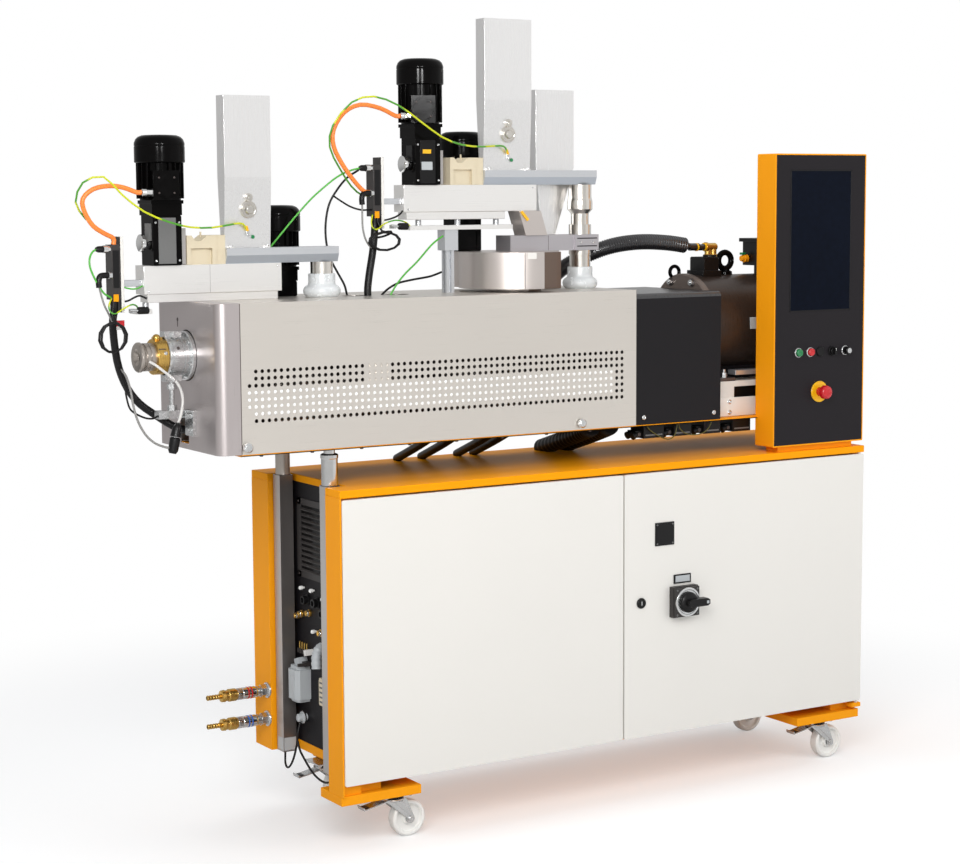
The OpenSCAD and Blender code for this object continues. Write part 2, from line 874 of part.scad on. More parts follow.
// Orange housing on its foot, recessed for the face
module panel_housing() {
    color(orange) placed() difference() {
        union() {
            upright_plate([hmi_x0, 0, hmi_z0], hmi_w, hmi_h, hmi_d, hmi_rim);
            box([hmi_x0 + foot_in, foot_in / 2, cab_top],
                [hmi_w - 2 * foot_in, hmi_d - foot_in, hmi_lift + cut]);
        }
        box([hmi_x0 + hmi_rim, -cut, hmi_z0 + hmi_rim],
            [hmi_w - 2 * hmi_rim, face_t + cut, hmi_h - 2 * hmi_rim]);
        for (x = button_x)
            rod_y([x, 0, row_z], cap_dia + 2 * slip, face_t + well);
        rod_y([estop_x, 0, estop_z], estop_neck_dia + 2 * slip, face_t + well);
    }
}

// Charcoal face with the screen's window and the button holes
module panel_face() {
    w = hmi_w - 2 * hmi_rim;
    h = hmi_h - 2 * hmi_rim;
    color(charcoal) placed() difference() {
        box([hmi_x0 + hmi_rim, 0, hmi_z0 + hmi_rim], [w, face_t, h]);
        box([hmi_x0 + screen_side, -cut, hmi_z0 + hmi_h - screen_drop - screen_h],
            [screen_w, face_t / 2 + cut, screen_h]);
        for (x = button_x)
            rod_y([x, -cut, row_z], cap_dia + 2 * slip, face_t + 2 * cut);
        rod_y([estop_x, -cut, estop_z], estop_neck_dia + 2 * slip, face_t + 2 * cut);
    }
}

module panel_screen() {
    color("#0d1220") placed()
        box([hmi_x0 + screen_side, 0, hmi_z0 + hmi_h - screen_drop - screen_h],
            [screen_w, face_t / 2, screen_h]);
}

// Round bezels of the row, and the flat blank that closes the middle place
module button_bezels() {
    color(chrome) placed()
        for (i = [0 : len(button_x) - 1])
            difference() {
                rod_y([button_x[i], -bezel_h, row_z], bezel_dia, bezel_h);
                if (i != 2)
                    rod_y([button_x[i], -bezel_h - cut, row_z], cap_dia + 2 * slip, bezel_h + 2 * cut);
            }
}

// Push cap: a plunger that runs in the bezel
module push_cap(x, tint) {
    color(tint) placed() rod_y([x, -bezel_h - cap_h, row_z], cap_dia, cap_h + bezel_h + cap_travel);
}

module start_button() { push_cap(button_x[0], "#1f8f4d"); }
module stop_button() { push_cap(button_x[1], "#c8202a"); }

// Selector with a raised lever across its face
module selector() {
    color(black) placed() {
        rod_y([button_x[3], -bezel_h - cap_h, row_z], cap_dia, cap_h + bezel_h + cap_travel);
        box([button_x[3] - lever_w / 2, -bezel_h - cap_h - lever_h, row_z - cap_dia / 2],
            [lever_w, lever_h + cut, cap_dia]);
    }
}

// Speed knob
module speed_knob() {
    color(black) placed() {
        rod_y([button_x[4], -bezel_h - cap_h, row_z], cap_dia, cap_h + bezel_h + cap_travel);
        rod_y([button_x[4], -bezel_h - knob_h, row_z], knob_dia, knob_h - slip);
    }
}

module estop_plate() {
    color("#f2c500") placed() difference() {
        rod_y([estop_x, -estop_disc_h, estop_z], estop_disc_dia, estop_disc_h);
        rod_y([estop_x, -estop_disc_h - cut, estop_z], estop_neck_dia + 2 * slip, estop_disc_h + 2 * cut);
    }
}

// Mushroom head on its stem
module estop_head() {
    r = estop_dia / 2;
    n = estop_neck_dia / 2;
    y0 = estop_disc_h + estop_neck_h;
    color("#d3202a") placed() translate([estop_x, 0, estop_z]) rotate([90, 0, 0]) rotate_extrude()
        polygon([[0, -face_t], [n, -face_t], [n, y0], [r, y0 + lever_h / 2], [r, y0 + estop_head_h - lever_h],
                 [r - lever_h / 2, y0 + estop_head_h - lever_h / 2], [r / 2, y0 + estop_head_h],
                 [0, y0 + estop_head_h]]);
}

/* Door */

blank_x = 1002;
blank_z = 725;
blank_size = 66;
blank_t = 4;
lock_x = 954;
lock_z = 567;
lock_dia = 30;
lock_h = 6;
carrier_w = 60;
carrier_h = 24;
carrier_gap = 8;

// Folded door with its two pivot pins
module service_door() {
    color(white) placed() {
        folded_panel(door_split + door_gap / 2, cab_l - door_edge);
        rod_z([pivot_x, pivot_y, panel_top - cut], pivot_dia, door_gap + pivot_l - slip - cut);
        rod_z([pivot_x, pivot_y, floor_z - lug_t / 2], pivot_dia, floor_t + lug_t / 2 + cut);
    }
}

// Blank plate, lock, label carrier and the base of the main switch
module door_fittings() {
    color(black) placed() {
        upright_plate([blank_x, -blank_t, blank_z], blank_size, blank_size, blank_t, blank_t);
        rod_y([lock_x, -lock_h, lock_z], lock_dia, lock_h);
        box([switch_x - carrier_w / 2, -blank_t, switch_z + switch_size / 2 + carrier_gap],
            [carrier_w, blank_t, carrier_h]);
        upright_plate([switch_x - switch_size / 2, -switch_base_h, switch_z - switch_size / 2],
                      switch_size, switch_size, switch_base_h, blank_t);
        rod_y([switch_x, -switch_base_h - switch_ring_h, switch_z], switch_ring_dia, switch_ring_h + cut);
    }
}

// Rotary grip, pointing right in its off position
module switch_handle() {
    y0 = switch_base_h + switch_ring_h + slip;
    color("#2a2422") placed() translate([switch_x, -y0, switch_z]) rotate([90, 0, 0]) {
        cylinder(d = grip_hub_dia, h = grip_hub_h);
        linear_extrude(grip_hub_h + grip_h) {
            translate([-grip_tail, -grip_w / 2]) square([grip_l + grip_tail, grip_w]);
            translate([grip_l, 0]) circle(d = grip_w);
            translate([-grip_tail, 0]) circle(d = grip_w);
        }
    }
}

/* Feeders */

hopper_front = 23;
hopper_y = centre_y - hopper_front;

// Side outline of a hopper: upright, then its front and back lean in to the outlet
module hopper_side(h, inset) {
    kink = h * kink_share;
    polygon([[inset, h + inset], [inset, kink], [hopper_lean + inset, 0 - inset],
             [hopper_lean + hopper_out_d - inset, 0 - inset], [hopper_d - inset, kink],
             [hopper_d - inset, h + inset]]);
}

// Thin-walled hopper, open at the top and the bottom
module hopper(i) {
    translate([hopper_x[i], hopper_y, housing_top[i] + trough_h]) difference() {
        rotate([90, 0, 90]) linear_extrude(hopper_w[i]) hopper_side(hopper_h[i], 0);
        translate([hopper_wall, 0, 0]) rotate([90, 0, 90])
            linear_extrude(hopper_w[i] - 2 * hopper_wall) hopper_side(hopper_h[i], hopper_wall);
    }
}

module feeder_hoppers() {
    color(steel) placed()
        for (i = [0, 1])
            hopper(i);
}

fm_gear_h = 164;
fm_body_h = [98, 109];
fm_cowl_h = 66;
fm_gear_size = 76;
fm_body_dia = 104;
fm_fins = 20;
fm_fin_t = 4;
cowl_r = 22;
term_w = 66;
term_h = 74;
term_d = 28;
term_sink = 26;
term_cover = 68;
term_lid = 6;
cover_sides = 8;
term_turn = [-12, -24];
fm_rear_x = [19, 601];
fm_rear_back = 118;
fm_rear_y = centre_y + fm_rear_back;
fm_rear_z0 = [1446, 1556];
fm_rear_top = [1689, 1890];
rear_gear_size = 76;

// Upright motor above a gearbox: finned frame, terminal box on the front, domed cowl
module upright_motor(x, y, z, dia, gear, gear_h, body_h) {
    r = dia / 2;
    box([x - gear / 2, y - gear / 2, z], [gear, gear, gear_h + cut]);
    translate([x, y, z + gear_h]) {
        linear_extrude(body_h + cut) {
            circle(d = fm_body_dia);
            for (a = [0 : fm_fins - 1])
                rotate(a * 360 / fm_fins) translate([0, -fm_fin_t / 2]) square([r - fm_fin_t, fm_fin_t]);
        }
        translate([0, 0, body_h]) rotate_extrude() {
            square([r - cowl_r, fm_cowl_h]);
            square([r, fm_cowl_h - cowl_r]);
            translate([r - cowl_r, fm_cowl_h - cowl_r]) circle(cowl_r);
        }
    }
}

// Foot of a front motor's finned frame, turned as its terminal box is
module at_terminals(i) {
    translate([fm_x[i], centre_y, housing_top[i] + fm_gear_h]) rotate(term_turn[i]) children();
}

module feeder_motors() {
    color(black) placed() {
        for (i = [0, 1]) {
            upright_motor(fm_x[i], centre_y, housing_top[i], fm_dia, fm_gear_size, fm_gear_h, fm_body_h[i]);
            term_y = -fm_body_dia / 2 - term_d;
            at_terminals(i) {
                box([-term_w / 2, term_y, 0], [term_w, term_d + term_sink, term_h]);
                translate([0, term_y, term_h / 2]) rotate([90, 0, 0])
                    rotate(180 / cover_sides) cylinder(d = term_cover, h = term_lid, $fn = cover_sides);
            }
        }
        for (i = [0, 1])
            upright_motor(fm_rear_x[i], fm_rear_y, fm_rear_z0[i], fm_dia, rear_gear_size,
                          fm_rear_top[i] - fm_rear_z0[i] - fm_body_h[0] - fm_cowl_h, fm_body_h[0]);
    }
}

// Stainless gear housings, each with a lower box set in a little
module feeder_housings() {
    y0 = centre_y - housing_d / 2;
    color(steel) placed()
        for (i = [0, 1]) {
            z0 = housing_top[i] - housing_h;
            box([housing_x[i], y0, z0], [housing_l[i], housing_d, housing_h]);
            box([housing_x[i] + lower_inset, y0 + lower_side, z0 - lower_h],
                [housing_l[i] - lower_inset - lower_short[i], housing_d - 2 * lower_side, lower_h + cut]);
        }
}

shelf_t = 12;
shelf_x = [-445, 350];
shelf_l = [41, 330];
shelf_d = 50;
post_size = 25;
post_x = 471;
post_y = centre_y - post_size / 2;
slot_open = 6;
slot_deep = 7;
block_size = [42, 40, 57];
spacer_n = [1, 3];
spacer_dia = 16;
spacer_in = [8, 40];
edge_h = 21;
edge_in = 8;
bar_l = 294;
bar_left = 260;
bar_h = 44;
bar_d = 76;
grip_d = 90;
grip_block_l = 80;
grip_block_in = 34;

// Trough: an aluminium channel section whose lower front edge slopes back
module trough(i) {
    d = trough_d;
    translate([trough_x[i], centre_y - d / 2, housing_top[i]]) rotate([90, 0, 90])
        linear_extrude(trough_l[i])
            polygon([[edge_in, 0], [d, 0], [d, trough_h], [0, trough_h], [0, edge_h]]);
}

// Slotted post that carries the right feeder's shelf
module slotted_post(h) {
    mid = post_size / 2;
    translate([post_x, post_y, cover_top]) linear_extrude(h) difference() {
        square(post_size);
        for (a = [0 : 90 : 270])
            translate([mid, mid]) rotate(a) translate([mid - slot_deep, -slot_open / 2])
                square([slot_deep + cut, slot_open]);
    }
}

// Aluminium troughs, shelves with spacers, the right feeder's post and the bar that grips its pipe
module feeder_beams() {
    pipe_bar_x = pipe_x[1] - bar_left;
    color(alu) placed() {
        for (i = [0, 1]) {
            shelf_z = housing_top[i] - housing_h - lower_h - spacer_dia - shelf_t;
            first = shelf_x[i] + spacer_in[i];
            last = shelf_x[i] + shelf_l[i] - spacer_in[i];
            trough(i);
            box([shelf_x[i], centre_y - shelf_d / 2, shelf_z], [shelf_l[i], shelf_d, shelf_t]);
            for (k = [0 : spacer_n[i] - 1])
                rod_z([last - k * (last - first) / max(spacer_n[i] - 1, 1), centre_y,
                       shelf_z + shelf_t - cut], spacer_dia, spacer_dia + cut);
        }
        right_shelf = housing_top[1] - housing_h - lower_h - spacer_dia - shelf_t;
        slotted_post(right_shelf - block_size[2] - cover_top + cut);
        box([post_x + (post_size - block_size[0]) / 2, post_y + (post_size - block_size[1]) / 2,
             right_shelf - block_size[2]], block_size + [0, 0, cut]);
        difference() {
            union() {
                box([pipe_bar_x, centre_y - bar_d / 2, drum_top], [bar_l - cut, bar_d, bar_h]);
                box([pipe_x[1] + grip_block_in - grip_block_l, centre_y - grip_d / 2, drum_top],
                    [grip_block_l, grip_d, bar_h]);
            }
            rod_z([pipe_x[1], centre_y, drum_top - cut], collar_out + 2 * seat, bar_h + 2 * cut);
        }
    }
}

// Beige clamps between the motors and the hoppers, with a window and a set-back right part
notch_share = 0.2;
step_shares = [0.12, 0.22, 0.34, 0.52];
window_shares = [0.1, 0.64, 0.56];
side_share = 0.75;
window_deep = 9;
side_deep = 7;
clamp_pin_dia = 5;
clamp_pin_l = 9;
clamp_pin_share = 0.46;

module clamp_blocks() {
    notch = clamp_h * notch_share;
    color(beige) placed()
        for (i = [0, 1])
            translate([trough_x[i] - clamp_l, centre_y - clamp_d / 2, housing_top[i]]) {
                difference() {
                    rotate([90, 0, 0]) mirror([0, 0, 1]) linear_extrude(clamp_d)
                        polygon([[0, 0], [clamp_l, 0], [clamp_l, clamp_h],
                                 [clamp_l * step_shares[3], clamp_h],
                                 [clamp_l * step_shares[2], clamp_h - notch],
                                 [clamp_l * step_shares[1], clamp_h - notch],
                                 [clamp_l * step_shares[0], clamp_h], [0, clamp_h]]);
                    box([clamp_l * window_shares[0], -cut, -cut],
                        [clamp_l * (window_shares[1] - window_shares[0]), window_deep + cut,
                         clamp_h * window_shares[2] + cut]);
                    box([clamp_l * side_share, -cut, -cut],
                        [clamp_l, side_deep + cut, clamp_h + 2 * cut]);
                }
                rod_z([clamp_l * clamp_pin_share, clamp_d / 2, clamp_h - notch], clamp_pin_dia,
                      notch + clamp_pin_l);
            }
}

bellow_h = 62;
bellow_dia = 100;
bellow_neck = 70;
bellow_lip = 7;
bellow_shares = [0.1, 0.28, 0.46, 0.6, 0.7];
top_tube_dia = 66;
top_tube_l = 36;
bulge_dia = 72;
bulge_h = 34;
taper_h = 12;
neck_dia = 51;
collar_out = 64;
collar_up = 28;

// Outline of the right down-pipe from its foot to the trough: collar, neck, bulge and top tube
module stepped_pipe() {
    h = housing_top[1] - cover_top - sheet_t;
    r = pipe_dia / 2;
    foot = drum_top - cover_top - sheet_t;
    collar_end = foot + bar_h + collar_up;
    top = h - top_tube_l;
    bulge_low = top - bulge_h;
    neck_top = bulge_low - taper_h;
    polygon([[r - pipe_wall, 0], [r, 0], [r, foot - taper_h], [collar_out / 2, foot - taper_h],
             [collar_out / 2, collar_end], [neck_dia / 2, collar_end + seat], [neck_dia / 2, neck_top],
             [bulge_dia / 2, bulge_low], [bulge_dia / 2, top - taper_h], [top_tube_dia / 2, top],
             [top_tube_dia / 2, h], [r - pipe_wall, h], [r - pipe_wall, top],
             [neck_dia / 2 - pipe_wall, neck_top], [neck_dia / 2 - pipe_wall, collar_end],
             [r - pipe_wall, foot]]);
}

// Down-pipes from the troughs to the barrel: a plain one and a stepped one
module down_pipes() {
    h = housing_top[0] - cover_top - sheet_t;
    color(steel) placed() {
        translate([pipe_x[0], centre_y, cover_top + sheet_t]) difference() {
            cylinder(d = pipe_dia, h = h);
            translate([0, 0, -cut]) cylinder(d = pipe_dia - 2 * pipe_wall, h = h + 2 * cut);
        }
        translate([pipe_x[1], centre_y, cover_top + sheet_t]) rotate_extrude() stepped_pipe();
    }
}

// Silicone bellows round the foot of each pipe
module bellows() {
    r0 = pipe_dia / 2 + seat;
    color("#eef2f2") placed()
        for (i = [0, 1])
            translate([pipe_x[i], centre_y, cover_top]) rotate_extrude()
                polygon([[r0, 0], [bellow_dia / 2 - bellow_lip, 0],
                         [bellow_dia / 2 - bellow_lip / 4, bellow_h * bellow_shares[0]],
                         [bellow_dia / 2, bellow_h * bellow_shares[1]],
                         [bellow_dia / 2 - bellow_lip / 4, bellow_h * bellow_shares[2]],
                         [bellow_dia / 2 - bellow_lip, bellow_h * bellow_shares[3]],
                         [bellow_neck / 2, bellow_h * bellow_shares[4]],
                         [bellow_neck / 2, bellow_h], [r0, bellow_h]]);
}

drum_x = 698;
drum_r = 155;
drum_notch = 67;
motor_foot = [123, 40, 120];
drum_z0 = 1455;
drum_top = 1556;
rear_hop_x = 800;
rear_hop_w = 130;
rear_hop_back = 40;
rear_hop_y = centre_y + rear_hop_back;
rear_hop_d = 52;
rear_hop_z0 = 1600;
rear_hop_kink = 1790;
rear_hop_top = 2008;
rear_out_x = 820;
rear_out_w = 46;
duct_wall = 2;
duct_left = 37;
chute_left = 237;
chute_w = 72;
chute_lean = 22;
chute_d = 60;
chute_in = 12;

// Outline of the rear hopper seen from the front
module rear_hopper_front(inset) {
    polygon([[rear_hop_x + inset, rear_hop_top + inset], [rear_hop_x + inset, rear_hop_kink],
             [rear_out_x + inset, rear_hop_z0 - inset],
             [rear_out_x + rear_out_w - inset, rear_hop_z0 - inset],
             [rear_hop_x + rear_hop_w - inset, rear_hop_kink],
             [rear_hop_x + rear_hop_w - inset, rear_hop_top + inset]]);
}

// Side feeder: a drum housing with a motor foot at the back and a notch for the down-pipe,
// its own foot, and the rear hopper on a duct
module side_feeder() {
    chute_top = housing_top[1] - housing_h;
    color(steel) placed() {
        translate([drum_x, centre_y, drum_z0]) linear_extrude(drum_top - drum_z0) difference() {
            union() {
                circle(drum_r);
                translate([-motor_foot[0], motor_foot[1]]) square([motor_foot[0], motor_foot[2]]);
            }
            translate([drum_notch, -2 * drum_r]) square([drum_r, 2 * drum_r]);
        }
        rod_z([drum_x, centre_y, cover_top], drum_r, drum_z0 - cover_top + cut);
        box([rear_out_x - duct_left, rear_hop_y, drum_top - cut],
            [rear_out_w, rear_hop_d, rear_hop_z0 - drum_top + cut]);
        translate([pipe_x[1] - chute_left, centre_y + chute_in, 0]) rotate([90, 0, 0])
            linear_extrude(chute_d)
                polygon([[chute_lean, drum_top + bar_h], [chute_lean + chute_w, drum_top + bar_h],
                         [chute_w, chute_top], [0, chute_top]]);
        translate([0, rear_hop_y + rear_hop_d, 0]) rotate([90, 0, 0]) difference() {
            linear_extrude(rear_hop_d) rear_hopper_front(0);
            translate([0, 0, duct_wall]) linear_extrude(rear_hop_d - 2 * duct_wall)
                rear_hopper_front(duct_wall);
        }
    }
}

// Controller modules on upright plates at the feeders' left ends, each on an arm
module controllers() {
    color("#4a4745") placed()
        for (i = [0, 1]) {
            px = housing_x[i] - ctrl_gap[i] - ctrl_plate_t;
            z0 = housing_top[i] - ctrl_drop;
            box([px, centre_y - ctrl_plate_d / 2, z0], [ctrl_plate_t, ctrl_plate_d, ctrl_plate_h]);
            box([px - ctrl_t, centre_y - ctrl_plate_d / 2, z0 + ctrl_inset], [ctrl_t + cut, ctrl_d, ctrl_h]);
            box([px + ctrl_plate_t - cut, centre_y - arm_d / 2, housing_top[i] - arm_drop],
                [ctrl_gap[i] + cut, arm_d, arm_h]);
        }
}

/* Small metal fittings */

cool_in = 80;
cool_y = cab_d - cool_in;
cool_z = [274, 354];
tail_dia = 15;
tail_l = 40;
tail_bore = 9;
body_dia = 26;
body_l = 98;
hex_dia = 38;
hex_l = 30;
tail_nut_dia = 35;
tail_nut_l = 46;
plate_dia = 44;
plate_h = 6;
sleeve_out = 33;
sleeve_l = 56;
sleeve_off = 40;
elbow_dia = 26;
elbow_x = 1420;
elbow_l = 44;

// Water couplings with hose tails, and the elbow on the motor's connection box
module brass_fittings() {
    box_top = motor_z + motor_dia / 2 + tbox_h;
    tail_x = -body_l - tail_nut_l;
    color(brass) placed() {
        for (z = cool_z)
            difference() {
                union() {
                    rod_x([-plate_h, cool_y, z], plate_dia, plate_h);
                    rod_x([-plate_h - hex_l, cool_y, z], hex_dia, hex_l + cut, $fn = 6);
                    rod_x([-body_l, cool_y, z], body_dia, body_l);
                    rod_x([tail_x, cool_y, z], tail_nut_dia, tail_nut_l);
                    rod_x([tail_x - tail_l, cool_y, z], tail_dia, tail_l + cut);
                }
                rod_x([tail_x - tail_l - cut, cool_y, z], tail_bore, tail_l);
            }
        rod_z([elbow_x, centre_y, box_top], elbow_dia, elbow_l);
        rod_x([elbow_x - elbow_l, centre_y, box_top + elbow_l - elbow_dia / 2], elbow_dia,
              elbow_l + elbow_dia / 2);
    }
}

knob_x = [-226, 796];
knob_z = 1081;
cover_knob_dia = 26;
cover_knob_l = 14;
sight_dia = 40;
sight_l = 14;
sight_z = 99;
nut_dia = 22;
nut_z = 130;
nut_l = 12;
gland_dia = 20;
gland_l = 26;
wheel_knob_dia = 46;
wheel_knob_l = 24;
wheel_knob_z = 56;

// Cover knobs, coupling sleeves, hopper glasses and nuts, motor glands and clamp wheels
module steel_fittings() {
    color(chrome) placed() {
        for (x = knob_x)
            rod_y([x, cover_y0 - cover_knob_l, knob_z], cover_knob_dia, cover_knob_l);
        for (z = cool_z)
            difference() {
                rod_x([-sleeve_off - sleeve_l, cool_y, z], sleeve_out, sleeve_l);
                rod_x([-sleeve_off - sleeve_l - cut, cool_y, z], body_dia + 2 * seat, sleeve_l + 2 * cut);
            }
        for (i = [0, 1]) {
            tilt = atan(hopper_lean / (hopper_h[i] * kink_share));
            for (part = [[sight_z, sight_dia, sight_l], [nut_z, nut_dia, nut_l]]) {
                y = hopper_y + hopper_lean * (1 - part[0] / (hopper_h[i] * kink_share));
                translate([hopper_x[i] + hopper_w[i] / 2, y, housing_top[i] + trough_h + part[0]])
                    rotate([90 + tilt, 0, 0]) cylinder(d = part[1], h = part[2]);
            }
            at_terminals(i)
                rod_x([-term_w / 2 - gland_l, -fm_body_dia / 2 - term_d / 2, gland_dia], gland_dia, gland_l);
            rod_x([fm_x[i] - fm_gear_size / 2 - wheel_knob_l, centre_y, housing_top[i] + wheel_knob_z],
                  wheel_knob_dia, wheel_knob_l);
        }
    }
}

/* Cables: each is one tube swept along points chosen by hand */

cable_dia = 12;
earth_dia = 5;
loom_dia = 20;
conduit_dia = 46;

cable_a_route = [[-437, 208, 1724], [-450, 211, 1724], [-484, 213, 1736], [-522, 213, 1740],
                 [-562, 216, 1732], [-588, 220, 1708], [-583, 223, 1676], [-560, 228, 1642],
                 [-526, 238, 1622], [-500, 246, 1610], [-500, 246, 1594]];
cable_b_route = [[318, 224, 1925], [304, 230, 1925], [256, 226, 1944], [194, 222, 1952],
                 [143, 220, 1930], [113, 222, 1885], [114, 224, 1842], [139, 227, 1798],
                 [174, 233, 1757], [208, 242, 1728], [226, 248, 1722], [239, 248, 1722]];
earth_a_route = [[-498, 263, 1594], [-498, 263, 1610], [-536, 256, 1632], [-574, 242, 1660],
                 [-606, 222, 1700], [-596, 196, 1748], [-550, 176, 1762], [-505, 170, 1718],
                 [-450, 164, 1676], [-385, 164, 1650], [-320, 178, 1636], [-250, 200, 1634],
                 [-180, 222, 1642], [-150, 230, 1642], [-132, 242, 1622]];
earth_b_route = [[239, 263, 1714], [218, 263, 1714], [180, 252, 1738], [140, 240, 1784],
                 [99, 218, 1840], [102, 204, 1896], [148, 184, 1956], [210, 176, 1972],
                 [280, 170, 1950], [345, 164, 1908], [410, 164, 1868], [480, 176, 1848],
                 [560, 200, 1844], [630, 222, 1848], [654, 230, 1842], [668, 242, 1824]];
loom_a_route = [[-500, 252, 1456], [-500, 252, 1430], [-499, 266, 1398], [-488, 285, 1340],
                [-472, 300, 1280], [-448, 305, 1226], [-415, 305, 1184], [-370, 300, 1150],
                [-332, 291, 1124], [-300, 287, 1112], [-270, 285, 1108]];
loom_b_route = [[250, 252, 1657], [250, 252, 1625], [240, 246, 1565], [226, 241, 1505],
                [220, 240, 1466], [220, 240, 1446]];
conduit_route = [[1376, 260, 1556], [1340, 260, 1556], [1240, 264, 1570], [1140, 274, 1574],
                 [1050, 292, 1562], [975, 330, 1530], [930, 366, 1496], [908, 386, 1466],
                 [908, 386, 1446]];

function unit(v) = v / norm(v);
function heading(route, i) =
    unit(route[min(i + 1, len(route) - 1)] - route[max(i - 1, 0)]);

// Ring of points round a route's point, square to its heading
function ring(route, i, r, sides) =
    let (t = heading(route, i), n = unit(cross(t, [0, 1, 0])), b = cross(t, n))
    [for (k = [0 : sides - 1]) route[i] + r * (cos(360 * k / sides) * n + sin(360 * k / sides) * b)];

// Tube along a route
module tube(route, dia) {
    sides = 8;
    n = len(route);
    points = [for (i = [0 : n - 1]) each ring(route, i, dia / 2, sides)];
    walls = [for (i = [0 : n - 2], k = [0 : sides - 1])
                 let (m = (k + 1) % sides)
                 [i * sides + k, (i + 1) * sides + k, (i + 1) * sides + m, i * sides + m]];
    start = [for (k = [0 : sides - 1]) k];
    finish = [for (k = [sides - 1 : -1 : 0]) (n - 1) * sides + k];
    polyhedron(points = points, faces = concat(walls, [start, finish]));
}

module motor_cable_a() { color("#f08030") placed() tube(cable_a_route, cable_dia); }
module motor_cable_b() { color("#f08030") placed() tube(cable_b_route, cable_dia); }
module earth_wire_a() { color("#c8d020") placed() tube(earth_a_route, earth_dia); }
module earth_wire_b() { color("#c8d020") placed() tube(earth_b_route, earth_dia); }
module loom_a() { color(black) placed() tube(loom_a_route, loom_dia); }
module loom_b() { color(black) placed() tube(loom_b_route, loom_dia); }
module motor_conduit() { color(black) placed() tube(conduit_route, conduit_dia); }

caster_beams();
cabinet_floor();
cabinet_ends();
fixed_panels();
cabinet_top();
connector_panel();
recess_connectors();
caster_plates();
support_columns();
base_plate();
base_connectors();
cover_front();
cover_shell();
cover_end_cap();
steel_fittings();
barrel();
gear_cover();
main_motor();
motor_base();
die_clamp();
die_band();
die_nose();
panel_housing();
panel_face();
panel_screen();
button_bezels();
estop_plate();
feeder_hoppers();
feeder_motors();
feeder_housings();
feeder_beams();
clamp_blocks();
down_pipes();
bellows();
side_feeder();
controllers();
brass_fittings();
motor_cable_a();
motor_cable_b();
earth_wire_a();
earth_wire_b();
loom_a();
loom_b();
motor_conduit();
service_door();
door_fittings();
switch_handle();
start_button();
stop_button();
selector();
speed_knob();
estop_head();
caster_fork_fl();
caster_fork_fr();
caster_fork_bl();
caster_fork_br();
caster_wheel_fl();
caster_wheel_fr();
caster_wheel_bl();
caster_wheel_br();
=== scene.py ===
"""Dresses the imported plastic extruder: finishes, fine forms, cables, studio and camera."""
import logging
import math
from dataclasses import dataclass, field
from enum import Enum
from typing import Iterable, Sequence

import bmesh
import bpy
from mathutils import Matrix, Vector


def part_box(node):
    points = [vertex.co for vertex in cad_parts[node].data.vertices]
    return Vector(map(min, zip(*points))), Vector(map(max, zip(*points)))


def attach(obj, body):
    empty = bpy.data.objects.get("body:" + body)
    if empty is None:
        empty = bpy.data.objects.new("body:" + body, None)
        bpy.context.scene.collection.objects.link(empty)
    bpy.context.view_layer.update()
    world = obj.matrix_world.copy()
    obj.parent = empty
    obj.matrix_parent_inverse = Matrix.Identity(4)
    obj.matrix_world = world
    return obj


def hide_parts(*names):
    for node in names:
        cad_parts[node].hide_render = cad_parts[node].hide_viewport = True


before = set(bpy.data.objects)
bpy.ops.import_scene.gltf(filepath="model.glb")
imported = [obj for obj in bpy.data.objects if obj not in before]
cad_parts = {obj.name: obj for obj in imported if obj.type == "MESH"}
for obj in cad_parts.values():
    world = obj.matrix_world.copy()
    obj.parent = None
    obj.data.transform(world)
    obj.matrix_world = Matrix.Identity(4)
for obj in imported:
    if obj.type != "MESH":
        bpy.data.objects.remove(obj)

LOG = logging.getLogger("extruder")
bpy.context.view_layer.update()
CORNER = Vector((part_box("cabinet_ends")[0].x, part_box("cabinet_ends")[0].y, 0.0))
MM = 0.001
# Y of the line on which the barrel, the motor and the feeders stand
CENTRE = 260.0
# Edges that turn by more than this stay crisp and are rounded
SHARP = math.radians(35)
# Most steps along a cord that isn't coiled
CORD_STEPS = 39
# Points of a CAD node closer than this many metres are one
WELD = 1e-5
# Faces of a CAD node that turn by less than this many radians are one
FLAT = 0.01
# Directions in which turned pieces and screws point
LEFT, RIGHT, FRONT, UP, DOWN = (-1, 0, 0), (1, 0, 0), (0, -1, 0), (0, 0, 1), (0, 0, -1)
Point = Sequence[float]


def place(p: Point) -> Vector:
    """Turn millimetres from the cabinet's front left floor corner into the frame's metres."""
    return CORNER + Vector(p) * MM


def linear(code: str) -> tuple[float, float, float, float]:
    """Turn a hex colour as seen on a screen into linear red, green, blue and alpha.

    Args:
        code: Six hex digits.

    Returns:
        The linear colour with full alpha.
    """
    parts = [int(code[i:i + 2], 16) / 255 for i in (0, 2, 4)]
    return (*[c / 12.92 if c <= 0.04045 else ((c + 0.055) / 1.055) ** 2.4 for c in parts], 1.0)


class Grain(Enum):
    """Fineness of a finish's texture along X, Y and Z, per metre."""

    PEEL = (420.0, 420.0, 420.0)
    BRUSH_X = (5.0, 2400.0, 2400.0)
    BRUSH_Z = (2400.0, 2400.0, 5.0)
    TURNED_X = (1600.0, 40.0, 40.0)
    CAST = (260.0, 260.0, 260.0)
    MOULD = (1400.0, 1400.0, 1400.0)
    SMOOTH = (60.0, 60.0, 60.0)


